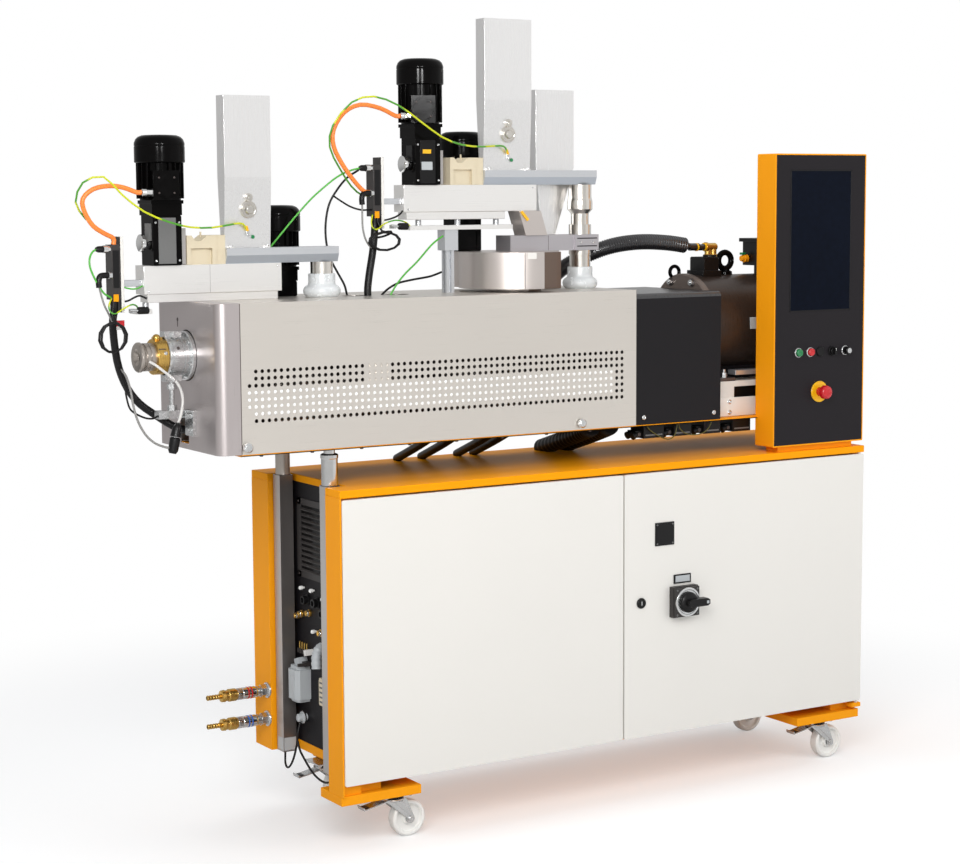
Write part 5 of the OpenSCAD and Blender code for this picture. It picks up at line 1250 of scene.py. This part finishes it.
@dataclass
class Die:
    """Nose, heater band and clamp at the barrel's left end."""

    y: float = CENTRE
    z: float = 1307.0
    bolt: float = -345.0

    def nose(self) -> None:
        """Stepped nose with a conical outlet."""
        profile = [(72, 0), (72, 9), (9, 9), (0, 21), (0, 35.5), (3, 38.5), (9, 38.5), (12, 35.5), (12, 32),
                   (17, 32), (17, 36), (26, 36), (26, 34), (28.5, 34), (28.5, 36), (118, 36)]
        made = Shape("stepped_nose").paint(GROUND).lathe((-440, self.y, self.z), RIGHT, profile, 64)
        made.done(bevel=0.4, nodes=["die_nose"])

    def band(self) -> None:
        """Brass heater band with its clamp screw and knob."""
        made = Shape("heater_band").paint(BRASS)
        made.lathe((-398, self.y, self.z), RIGHT,
                   [(0, 36.4), (0, 45), (1, 46), (29, 46), (30, 45), (30, 36.4), (0, 36.4)], 64)
        made.box((-394, self.y - 10, self.z + 40), (22, 20, 10))
        made.lathe((-388, self.y - 8, self.z + 40), UP,
                   [(0, 7), (4, 9.4), (8, 10.6), (12, 10), (16, 7), (18, 3), (18.4, 0)], 32)
        since = made.mark()
        made.paint(DARK_STEEL).box((-396, self.y - 46.4, self.z - 1.5), (20, 2, 3))
        made.paint(ZINC).screw((-379, self.y - 45.6, self.z - 12), FRONT, 5, 3)
        made.turned(since, (0, self.y, self.z), -28, "X")
        made.done(bevel=0.5, nodes=["die_band"])

    def clamp(self) -> None:
        """Flange, clamp ring, lugs with bolts, and the bar that carries them."""
        made = Shape("die_clamp_ring").paint(ZINC)
        made.lathe((-313, self.y, self.z), RIGHT, [(0, 0), (0, 61), (2, 63.4), (19, 63.4), (19, 0)], 64)
        ring = [(0, 36.4), (0, 49), (3, 52), (9, 52), (9, 50.6), (11, 50.6), (11, 52), (38, 52), (38, 49),
                (42, 49), (42, 52), (55, 52), (55, 36.4), (0, 36.4)]
        made.lathe((-368, self.y, self.z), RIGHT, ring, 64)
        made.paint(DARK_STEEL).lathe((self.bolt, self.y - 47, self.z + 23), (0, -0.9, 0.44),
                                     [(0, 4), (0.6, 4), (0.6, 0)], 20)
        made.paint(ZINC)
        made.box((-368, self.y - 15, self.z + 40), (46, 30, 24))
        made.box((-368, self.y - 15, self.z - 64), (46, 30, 26))
        made.rod((self.bolt, self.y - 25, self.z + 54), (self.bolt, self.y - 15, self.z + 54), 9, 6)
        made.rod((self.bolt, self.y + 15, self.z + 54), (self.bolt, self.y + 23, self.z + 54), 9, 6)
        made.rod((self.bolt, self.y - 28, self.z + 54), (self.bolt, self.y + 26, self.z + 54), 5, 16)
        made.rod((self.bolt, self.y, 1167), (self.bolt, self.y, 1250), 7, 20)
        made.rod((self.bolt, self.y, 1168), (self.bolt, self.y, 1181), 13, 6)
        made.rod((self.bolt, self.y, 1222), (self.bolt, self.y, 1236), 13, 6)
        made.box((-388, self.y - 15, 1147), (86, 30, 21)).box((-312, self.y - 54, 1102), (10, 50, 66))
        for z in (1116, 1154):
            made.rod((-312, self.y - 30, z), (-320, self.y - 30, z), 8, 6)
        for k in range(6):
            a = math.radians(60 * k + 20)
            at = (-313, self.y + 57 * math.cos(a), self.z + 57 * math.sin(a))
            made.screw(at, LEFT, 4.5, 5)
        made.done(bevel=0.7, nodes=["die_clamp"])

    def build(self) -> None:
        """Build the die."""
        self.nose()
        self.band()
        self.clamp()


@dataclass
class Drive:
    """Gear cover, motor and motor base."""

    y: float = CENTRE
    z: float = 1329.0
    front: float = 69.0

    def cover(self) -> None:
        """Black gear cover, rounded along its upper edges, with its screws."""
        steps = [math.radians(15 * k) for k in range(7)]
        arc = [(self.front + 14 * (1 - math.cos(a)), 1420 + 14 * math.sin(a)) for a in steps]
        made = Shape("gear_cover_skin").paint(BLACK_MATT)
        back = [(2 * CENTRE - y, z) for y, z in reversed(arc)]
        made.prism(0, 986, 1287, [(self.front, 1063), *arc, *back, (2 * CENTRE - self.front, 1063)])
        made.repaint(BLACK_SHEEN, (987, 60, 1420), (1286, 460, 1435))
        for x in (1012, 1262):
            made.paint(ZINC).screw((x, self.front, 1084), FRONT, 7, 4)
        made.done(bevel=1.0, nodes=["gear_cover"])

    def motor(self) -> None:
        """Smooth motor with its flange, bolts, plain plate and fan cowl."""
        made = Shape("drive_motor").paint(MOTOR_BROWN)
        made.lathe((1310, self.y, self.z), RIGHT,
                   [(0, 0), (0, 142), (3, 144), (352, 144), (360, 141), (360, 0)], 96)
        cowl = [(0, 0), (0, 133), (3, 135), (78, 135), (88, 128), (91, 116), (91, 0)]
        made.paint(BLACK_MATT).lathe((1669, self.y, self.z), RIGHT, cowl, 80)
        made.paint(FLANGE).lathe((1287, self.y, self.z), RIGHT,
                                 [(0, 0), (0, 146), (4, 150), (20, 150), (24, 146), (24, 0)], 96)
        for k in range(8):
            a = math.radians(45 * k + 22.5)
            y, z = self.y + 135 * math.cos(a), self.z + 135 * math.sin(a)
            if z > 1440:
                made.paint(DARK_STEEL).lathe((1287.4, y, z), LEFT, [(0, 13), (1.6, 13), (1.6, 0)], 28)
                made.paint(ZINC).rod((1286.5, y, z), (1278, y, z), 9.5, 6)
                made.rod((1280, y, z), (1275, y, z), 5, 16)
        made.paint(PALE_PLASTIC).box((1432, 113.6, 1317), (46, 6, 34))
        self.boxes(made)
        made.done(bevel=1.2, nodes=["main_motor"])

    def boxes(self, made: Shape) -> None:
        """Terminal block, lidded box, plug and lifting eyes on the motor.

        Args:
            made: The shape they are added to.
        """
        made.paint(BLACK_PLASTIC).box((1343, 226, 1462), (68, 80, 25)).box((1350, 232, 1486), (55, 68, 39))
        made.box((1350, 236, 1524), (55, 60, 3))
        made.lathe((1392, 260, 1524), UP, [(0, 20), (8, 20), (9, 17), (9, 0)], 32)
        made.box((1562, 205, 1497), (148, 110, 72)).box((1552, 199, 1568), (162, 122, 11))
        made.box((1590, 225, 1466), (90, 70, 33))
        made.lathe((1582, 232, 1578), UP, [(0, 7), (4, 7), (5, 9), (9, 9), (10, 7), (10, 0)], 24)
        made.paint(ORANGE).lathe((1563, 292, 1518), LEFT,
                                 [(0, 8), (3, 12), (16, 13), (18, 10), (26, 9), (26, 0)], 32, 0.6)
        made.paint(GREEN).box((1536, 284, 1529), (14, 14, 7))
        for x, y, z, r, wire in ((1300, 310, 1482, 17, 5.5), (1456, 268, 1514, 24, 9)):
            steps = [math.radians(15 * k) for k in range(25)]
            ring = [(x + r * math.cos(a), y, z + r * math.sin(a)) for a in steps]
            made.paint(BLACK_GLOSS).tube(ring, wire, 14)
            made.lathe((x, y, z - r - 22), UP,
                       [(0, wire * 2.6), (14, wire * 2.4), (18, wire * 1.4), (24, wire)], 24)

    def base(self) -> None:
        """Motor base with its dark window, lower plate, rail and bolt."""
        made = Shape("motor_base_skin").paint(CASTING).carry("motor_base")
        # The window's inner faces are painted black: painted shade in the opening
        made.repaint(BLACK_PLASTIC, (1369, 110.5, 1070), (1521, 131, 1166))
        made.repaint(BLACK_MATT, (1290, 100, 1168), (1750, 420, 1210))
        made.paint(WHITE).box((1302, 107, 1064), (420, 4, 55))
        for x in (1350, 1560):
            for z in (1076, 1107):
                made.paint(ZINC).screw((x, 107, z), FRONT, 7, 4)
        made.paint(ALU).box((1374, 110, 1184), (340, 36, 14)).paint(DARK_STEEL)
        made.box((1306, 112, 1167), (70, 60, 10))
        made.paint(ZINC).rod((1342, 126, 1176), (1342, 126, 1192), 11, 6)
        made.rod((1342, 126, 1190), (1342, 126, 1202), 6, 16)
        made.done(bevel=1.6, nodes=["motor_base"])

    def build(self) -> None:
        """Build the drive."""
        self.cover()
        self.motor()
        self.base()


@dataclass
class OperatorPanel:
    """Tall panel with screen and controls."""

    row: float = 1250.0
    stops: Sequence[float] = (1518.0, 1563.0, 1602.0, 1647.0, 1697.0)
    estop: Point = (1600.0, 1132.0)
    pane: Point = (1484.0, 1370.0, 231.0, 410.0)
    rim: float = 3.0

    def screen(self) -> None:
        """Dark glass with a thin border."""
        x, z, wide, high = self.pane
        made = Shape("screen_pane").paint(GLASS).box((x, -0.4, z), (wide, 2.4, high))
        made.paint(BLACK_PLASTIC)
        for level in (z, z + high - self.rim):
            made.box((x, -0.8, level), (wide, 2, self.rim))
        for side in (x, x + wide - self.rim):
            made.box((side, -0.8, z), (self.rim, 2, high))
        made.done(bevel=0.3, nodes=["panel_screen"])

    def bezels(self) -> None:
        """Silver rings of the button row with the dark blank."""
        made = Shape("button_rings")
        for i, x in enumerate(self.stops):
            made.paint(BLACK_PLASTIC if i in (2, 3) else ZINC)
            inner = 0 if i == 2 else 11.4
            ring = [(0, inner), (0, 14.5), (3, 14.5), (5, 13), (5, 12), (4, inner)]
            made.lathe((x, 0, self.row), FRONT, ring if i == 2 else [*ring, ring[0]], 40)
        made.done(bevel=0.2, nodes=["button_bezels"])

    def cap(self, name: str, x: float, finish: Finish) -> None:
        """Domed push cap.

        Args:
            name: The node and body that it belongs to.
            x: Its place in the row.
            finish: Its colour.
        """
        profile = [(0, 0), (0, 11), (14, 11), (15.4, 10), (16, 8.5), (15.4, 7), (15, 0)]
        made = Shape(name + "_cap").paint(finish).lathe((x, 4, self.row), FRONT, profile, 40)
        made.done(name, 0.0, [name])

    def turners(self) -> None:
        """Selector with its lever, and the speed knob."""
        x = self.stops[3]
        made = Shape("selector_lever").paint(BLACK_PLASTIC)
        made.lathe((x, 4, self.row), FRONT, [(0, 0), (0, 11), (15, 11), (16, 10), (16, 0)], 40)
        made.prism(1, -20, -11, [(x - 4, self.row - 10), (x + 4, self.row - 10), (x + 3, self.row + 10.6),
                                 (x - 3, self.row + 10.6)])
        made.paint(NYLON).box((x - 0.7, -20.2, self.row + 2), (1.4, 2, 8))
        made.done("selector", 0.6, ["selector"])
        x = self.stops[4]
        made = Shape("speed_knob_turned").paint(BLACK_PLASTIC)
        made.lathe((x, 4, self.row), FRONT,
                   [(0, 0), (0, 11), (9.6, 11), (9.6, 12), (25, 11.6), (26.6, 10), (27, 0)], 48, 0.5)
        made.paint(ZINC).lathe((x, -22.4, self.row), FRONT, [(0, 0), (0, 8), (0.9, 7.4), (0.9, 0)], 32)
        made.done("speed_knob", 0.0, ["speed_knob"])

    def emergency(self) -> None:
        """Yellow disc and red mushroom head."""
        x, z = self.estop
        made = Shape("yellow_disc").paint(YELLOW)
        made.lathe((x, 0, z), FRONT, [(0, 13.4), (0, 31), (2, 31), (3, 30), (3, 13.4), (0, 13.4)], 56)
        made.done(bevel=0.0, nodes=["estop_plate"])
        made = Shape("mushroom_head").paint(RED)
        made.lathe((x, 4, z), FRONT, [(0, 0), (0, 13), (23, 13), (24, 17), (27, 20), (36, 20), (41, 18.6),
                                      (44, 15), (45, 9), (45, 0)], 56)
        made.done("estop", 0.0, ["estop_head"])

    def build(self) -> None:
        """Build the panel."""
        copy("panel_housing", ORANGE, bevel=1.6)
        copy("panel_face", CHARCOAL, bevel=0.4)
        self.screen()
        self.bezels()
        self.cap("start_button", self.stops[0], GREEN)
        self.cap("stop_button", self.stops[1], RED)
        self.turners()
        self.emergency()


@dataclass
class Feeders:
    """Two dosing feeders over the barrel with the side feeder between them."""

    tops: Sequence[float] = (1540.0, 1741.0)
    motors: Sequence[float] = (-365.0, 399.0)
    bodies: Sequence[float] = (98.0, 109.0)
    turns: Sequence[float] = (-12.0, -24.0)
    hoppers: Sequence[float] = (-196.0, 591.0)
    widths: Sequence[float] = (132.0, 154.0)
    heights: Sequence[float] = (391.0, 414.0)
    troughs: Sequence[Point] = ((-197.0, 326.0), (586.0, 376.0))
    housings: Sequence[Point] = ((-426.0, 386.0), (330.0, 428.0))
    modules: Sequence[Point] = ((-510.0, 1456.0), (239.0, 1657.0))
    pipes: Sequence[float] = (92.0, 924.0)
    gear: float = 76.0
    rise: float = 164.0
    kink: float = 0.465
    lean: float = 10.0
    plug_heights: Sequence[float] = (127.0, 129.0)
    elbow_height: float = 62.0
    thumb_screws: Sequence[Point] = ((-470.0, 1430.0), (286.0, 1632.0))

    def motor(self, made: Shape, x: float, y: float, low: float, rise: float, body: float) -> None:
        """One upright motor on its gearbox.

        Args:
            made: The shape it is added to.
            x: Its axis.
            y: Its axis.
            low: Where its gearbox stands.
            rise: The gearbox's height.
            body: The ribbed body's height.
        """
        half, top = self.gear / 2, low + rise
        made.paint(BLACK_GLOSS).box((x - half, y - half, low), (self.gear, self.gear, rise))
        made.box((x - half - 3, y - half - 3, top - 38), (self.gear + 6, self.gear + 6, 38))
        made.box((x - half - 6, y - half - 6, top - 9), (self.gear + 12, self.gear + 12, 9))
        for dx in (-half, half - 12):
            made.box((x + dx - 1, y - half - 2.5, low + 2), (14, 8, rise - 42))
        made.lathe((x, y, top), UP, [(0, 0), (0, 52), (body, 52), (body, 0)], 48)
        for k in range(20):
            a = math.radians(18 * k)
            c, s = math.cos(a), math.sin(a)
            fin = [(x + 48 * c - 1.6 * s, y + 48 * s + 1.6 * c), (x + 60 * c - 1.3 * s, y + 60 * s + 1.3 * c),
                   (x + 60 * c + 1.3 * s, y + 60 * s - 1.3 * c), (x + 48 * c + 1.6 * s, y + 48 * s - 1.6 * c)]
            made.prism(2, top + 4, top + body - 2, fin)
        cowl = [(-4, 0), (-4, 62), (-2, 64), (36, 64), (38, 62.8), (40, 64), (46, 63.6), (55, 60), (61, 54),
                (65, 44), (66, 26), (63, 24), (63, 0)]
        made.lathe((x, y, top + body), UP, cowl, 56)

    def gearbox_trim(self, made: Shape, i: int) -> None:
        """Front panel, side blocks and bare patches of a front gearbox.

        Args:
            made: The shape they are added to.
            i: Which feeder.
        """
        x, low, half = self.motors[i], self.tops[i], self.gear / 2
        front = CENTRE - half
        made.paint(GREY_PLASTIC if i == 0 else BLACK_PLASTIC)
        made.box((x - half + 14, front - 1.6, low + 4), (self.gear - 28, 3, 116))
        made.box((x - half - 6, front + 10, low + 62), (8, 30, 44))
        made.box((x + half - 2, front + 10, low + 62), (8, 30, 44))
        if i:
            made.paint(YELLOW).box((x - 16, front - 2.4, low + 84), (26, 2, 11))
            made.paint(PALE_PLASTIC).box((x - 20, front - 2.4, low + 40), (34, 2, 22))
        for dz in (12, 108):
            for dx in (-half + 6, half - 6):
                made.paint(ZINC).screw((x + dx, front - 2.5, low + dz), FRONT, 3.2, 2.4)

    def terminals(self, made: Shape, i: int) -> None:
        """Terminal box with its eight-sided cover, turned round the motor.

        Args:
            made: The shape they are added to.
            i: Which feeder.
        """
        x, base = self.motors[i], self.tops[i] + self.rise
        since = made.mark()
        made.paint(BLACK_GLOSS).box((x - 33, 180, base), (66, 54, 74))
        made.rod((x, 180, base + 37), (x, 176, base + 37), 34, 8)
        made.rod((x, 176, base + 37), (x, 174, base + 37), 30, 8)
        for k in range(4):
            a = math.radians(90 * k + 45)
            at = (x + 27 * math.cos(a), 174.4, base + 37 + 27 * math.sin(a))
            made.paint(DARK_STEEL).screw(at, FRONT, 2.6, 1.6)
        made.turned(since, (x, CENTRE, 0), self.turns[i])

    def drives(self) -> None:
        """All four upright motors."""
        made = Shape("feeder_drives")
        for i, (x, top, body) in enumerate(zip(self.motors, self.tops, self.bodies)):
            self.motor(made, x, CENTRE, top, self.rise, body)
            self.gearbox_trim(made, i)
            self.terminals(made, i)
        self.motor(made, 19, 378, 1446, 79, 98)
        self.motor(made, 601, 378, 1556, 170, 98)
        made.done(bevel=1.5, nodes=["feeder_motors"])

    def fittings(self) -> None:
        """Hopper glasses with their nuts, cable glands and clamp wheels."""
        made = Shape("feeder_fittings")
        columns = (self.motors, self.tops, self.turns, self.hoppers, self.widths, self.heights)
        for x, top, turn, hx, w, h in zip(*columns):
            since = made.mark()
            made.paint(CHROME).rod((x - 50, 194, top + 184), (x - 32, 194, top + 184), 10, 6)
            made.lathe((x - 59, 194, top + 184), RIGHT, [(0, 6.4), (0, 8), (2, 9.4), (12, 9.4)], 24)
            made.turned(since, (x, CENTRE, 0), turn)
            wheel = [(0, 0), (0, 17), (3, 22.6), (12, 22.6), (14, 18), (18, 18), (19, 12), (25, 12)]
            made.lathe((x - 62, CENTRE, top + 56), RIGHT, wheel, 40, 0.5)
            tilt = math.atan(self.lean / (h * self.kink))
            out = Vector((0, -math.cos(tilt), -math.sin(tilt)))
            glass = [(-4, 23), (5, 23), (8, 21), (8, 18.5), (6.5, 17.5), (6.5, 13), (10, 12), (13, 9),
                     (13, 0)]
            nut = [(-4, 11), (7, 11), (9, 9), (9, 6), (13, 5), (13, 0)]
            for dz, rings in ((99, glass), (130, nut)):
                y = 237 + self.lean * (1 - dz / (h * self.kink))
                made.paint(POLISHED).lathe((hx + w / 2, y, top + 40 + dz), out, rings, 36)
        made.done(bevel=0.4, nodes=["steel_fittings"])

    def plugs(self) -> None:
        """Round plugs, elbows, ties and thumb screws at the controllers."""
        made = Shape("controller_plugs")
        for i, (x, z) in enumerate(self.modules):
            high, low = self.plug_heights[i], self.elbow_height
            made.paint(CHROME).lathe((x + 2, 246, z + high), LEFT,
                                     [(0, 8), (8, 8), (9, 10), (20, 10), (21, 8)], 24, 0.4)
            made.paint(BLACK_PLASTIC).lathe((x - 18, 246, z + high), LEFT,
                                            [(0, 8.6), (14, 8), (20, 5), (20, 0)], 24)
            elbow = [(x + 2, 242, z + low), (x - 16, 242, z + low), (x - 29, 241, z + low - 2),
                     (x - 34, 240, z + low - 14), (x - 33, 240, z + low - 30)]
            made.tube(smooth(elbow, 5), 7.5, 16)
            made.paint(ZINC).lathe((x + 1, 242, z + low), LEFT, [(0, 9), (7, 9), (8, 8)], 24, 0.4)
            made.paint(ORANGE).box((x + 3, 234.6, z - 4), (13, 3, 18))
            made.paint(BLACK_PLASTIC).box((x + 4, 236, z + 30), (16, 2, 94))
            made.box((x + 6, 235.4, z + 112), (12, 2, 8))
            kx, kz = self.thumb_screws[i]
            made.paint(ZINC).rod((kx, 226, kz), (kx + 24, 226, kz - 2), 3.6, 16)
            made.paint(BLACK_PLASTIC).lathe((kx + 22, 226, kz - 2), RIGHT,
                                            [(0, 0), (0, 7), (3, 9.5), (28, 9.5), (30, 7), (30, 0)], 28, 0.9)
            made.paint(ZINC).box((kx + 8, 226, kz - 8), (8, 24, 10))
        made.paint(RED).box((-491, 262, 1388), (22, 1.2, 15)).paint(WHITE_CABLE)
        made.box((-491, 262, 1379), (22, 1.2, 9))
        made.done(bevel=0.5)

    def trim(self) -> None:
        """Seams, screws, feet and lugs on the pale sheet."""
        made = Shape("feeder_trim")
        for i in (0, 1):
            x, length = self.housings[i]
            top, hx, w = self.tops[i], self.hoppers[i], self.widths[i]
            if i == 0:
                made.paint(DARK_STEEL).box((x + length * 0.47, 231.8, top - 72), (0.7, 0.6, 71))
            made.paint(ZINC).screw((x + length * 0.97, 232.1, top - 8), FRONT, 2.6, 1.8)
            made.screw((x + length * 0.03, 232.1, top - 66), FRONT, 2.6, 1.8)
            for dx in (8, w - 20):
                made.paint(PALE_SHEET).box((hx + dx, 231, top + 39.5), (12, 18, 4))
                made.paint(ZINC).rod((hx + dx + 6, 236, top + 43), (hx + dx + 6, 236, top + 47), 4, 6)
            lug_x, lug_z = hx + w / 2 + (-2 if i == 0 else 0), top + 78
            made.paint(ZINC).box((lug_x - 4, 238, lug_z - 8), (8, 6, 16))
            made.screw((lug_x, 239, lug_z - 4), FRONT, 4, 3)
            made.paint(YELLOW).rod((lug_x - 6, 236, lug_z + 18), (lug_x - 1, 238, lug_z + 6), 3.6, 16)
            made.paint(GREEN).lathe((hx + w / 2 + 14, 243.4, top + 68), FRONT,
                                    [(0, 0), (0, 5), (1, 5), (1, 0)], 20)
        for x, top in zip(self.motors, self.tops):
            made.paint(COLUMN).box((x + 40, 236, top + 1), (17, 46, 92))
        made.paint(DARK_STEEL).box((642.4, 114.3, 1456), (1.2, 1.2, 99)).box((790, 221.6, 1557), (1.2, 1, 42))
        made.paint(WHITE).prism(2, 1538, 1555, [(650, 111.8), (675, 106.0), (675, 107.4), (650, 113.4)])
        made.paint(YELLOW).prism(1, 208, 212.5, [(690, 1664), (696, 1669), (718, 1645), (712, 1640)])
        made.paint(BLACK_PLASTIC).box((884, 214.2, 1566), (68, 1.2, 3)).box((884, 214.2, 1588), (68, 1.2, 3))
        for x in (896, 938):
            made.paint(ZINC).screw((x, 215, 1578), FRONT, 4, 3)
        made.done(bevel=0.3)

    def pipes_and_seals(self) -> None:
        """Down-pipes, and the clear bellows round their feet."""
        copy("down_pipes", POLISHED, bevel=0.3)
        made = Shape("silicone_bellows").paint(SILICONE)
        fold = [(0, 30.4), (0, 41), (4, 46), (10, 49.4), (17, 50), (23, 48.4), (28, 44), (31, 39), (34, 36.6),
                (40, 36), (58, 36), (61, 35.2), (62, 34), (62, 30.4), (0, 30.4)]
        for x in self.pipes:
            made.lathe((x, CENTRE, 1446), UP, fold, 56)
        made.done(bevel=0.0, nodes=["bellows"])

    def build(self) -> None:
        """Build the feeders."""
        copy("feeder_hoppers", HOPPER_SHEET, bevel=0.5)
        copy("feeder_housings", PALE_SHEET, bevel=1.2)
        beams = Shape("feeder_beams_skin").paint(ALU).carry("feeder_beams")
        for (x, length), top in zip(self.troughs, self.tops):
            beams.repaint(ALU_DARK, (x - 1, 225, top - 1), (x + length + 1, 236, top + 19.5))
        beams.repaint(PALE_SHEET, (-450, 230, 1417), (-400, 290, 1431))
        beams.repaint(PALE_SHEET, (345, 230, 1618), (685, 290, 1632))
        beams.repaint(ALU_MID, (663, 214, 1555), (959, 306, 1601)).done(bevel=0.8, nodes=["feeder_beams"])
        copy("clamp_blocks", BEIGE, bevel=2.0)
        side = Shape("side_feeder_skin").paint(SHEET_Z).carry("side_feeder")
        side.repaint(HOPPER_SHEET, (783, 100, 1601), (940, 425, 2010))
        # The drum's right part is painted darker brown as shade
        side.repaint(DRUM_PAINTED_SHADE, (700, 100, 1450), (900, 258, 1555.5))
        side.done(bevel=0.6, nodes=["side_feeder"])
        controllers = Shape("controllers_skin").paint(MODULE).carry("controllers")
        for x, z in self.modules:
            controllers.repaint(WHITE, (x + 24.2, 230, z - 40), (x + 32.5, 290, z + 165))
            controllers.repaint(ALU, (x + 32.6, 230, z - 40), (x + 95, 290, z + 165))
            controllers.paint(WHITE).box((x + 24.2, 236.4, z - 32.2), (8.2, 47, 190.4))
        controllers.done(bevel=1.0, nodes=["controllers"])
        self.drives()
        self.fittings()
        self.plugs()
        self.trim()
        self.pipes_and_seals()


@dataclass
class Couplings:
    """Water couplings at the cabinet's left end, and the elbow on the motor's box."""

    y: float = 440.0
    levels: Sequence[float] = (274.0, 354.0)

    def build(self) -> None:
        """Build both couplings and the elbow."""
        made = Shape("water_couplings")
        for z, ring in zip(self.levels, (BLUE, RED)):
            at, out = (0, self.y, z), LEFT
            made.paint(ZINC).lathe(at, out, [(0, 0), (0, 22), (4, 22), (6, 20), (6, 0)], 40)
            made.rod((-6, self.y, z), (-24, self.y, z), 18, 6).rod((-24, self.y, z), (-36, self.y, z), 15, 24)
            made.paint(BRASS).rod((-30, self.y, z), (-100, self.y, z), 13, 32)
            made.paint(CHROME).lathe(at, out,
                                     [(40, 13), (40, 15.5), (42, 16.5), (78, 16.5), (80, 15.5), (80, 13)], 40)
            made.lathe(at, out, [(80, 13), (80, 15.5), (82, 16.5), (95, 16.5), (96, 15), (96, 13)], 60, 0.8)
            for along in (52, 62):
                mark = [(along, 16), (along, 17), (along + 4, 17), (along + 4, 16)]
                made.paint(ring).lathe(at, out, mark, 40)
            made.paint(BRASS).lathe(at, out, [(98, 13), (98, 16), (100, 17.5), (120, 17.5), (122, 15),
                                              (130, 15), (132, 17), (142, 16), (144, 7.5)], 40)
            steps = range(144, 184, 8)
            barbs = [p for s in steps for p in ((s, 6.2), (s + 6, 7.5), (s + 7.5, 6.2))]
            made.lathe(at, out, [*barbs, (184, 6), (184, 4.5), (150, 4.5), (150, 0)], 32)
        made.paint(BRASS).lathe((1374, 260, 1556), RIGHT,
                                [(0, 0), (0, 14), (8, 14), (9, 11.5), (38, 11.5), (42, 9), (42, 0)], 32)
        for x, r in ((1384, 8.5), (1405, 10.5)):
            leg = [(0, 0), (0, r + 2.5), (10, r + 2.5), (11, r), (34, r), (34, 0)]
            made.lathe((x, 260, 1524), UP, leg, 32)
        made.done(bevel=0.4, nodes=["brass_fittings"])


def main() -> None:
    """Build the studio, the cords and every assembly."""
    logging.basicConfig(level=logging.INFO, format="%(name)s: %(message)s")
    bpy.context.scene.view_settings.view_transform = "Standard"
    studio = Studio()
    studio.camera()
    Cords().build()
    for assembly in (Undercarriage(), Cabinet(), ConnectorRecess(), ProcessUnit(), Die(), Drive(),
                     OperatorPanel(), Feeders(), Couplings()):
        assembly.build()
        LOG.info("%s built", type(assembly).__name__)
    studio.light()
    studio.backdrop()
    studio.floor()


if __name__ == "__main__":
    main()
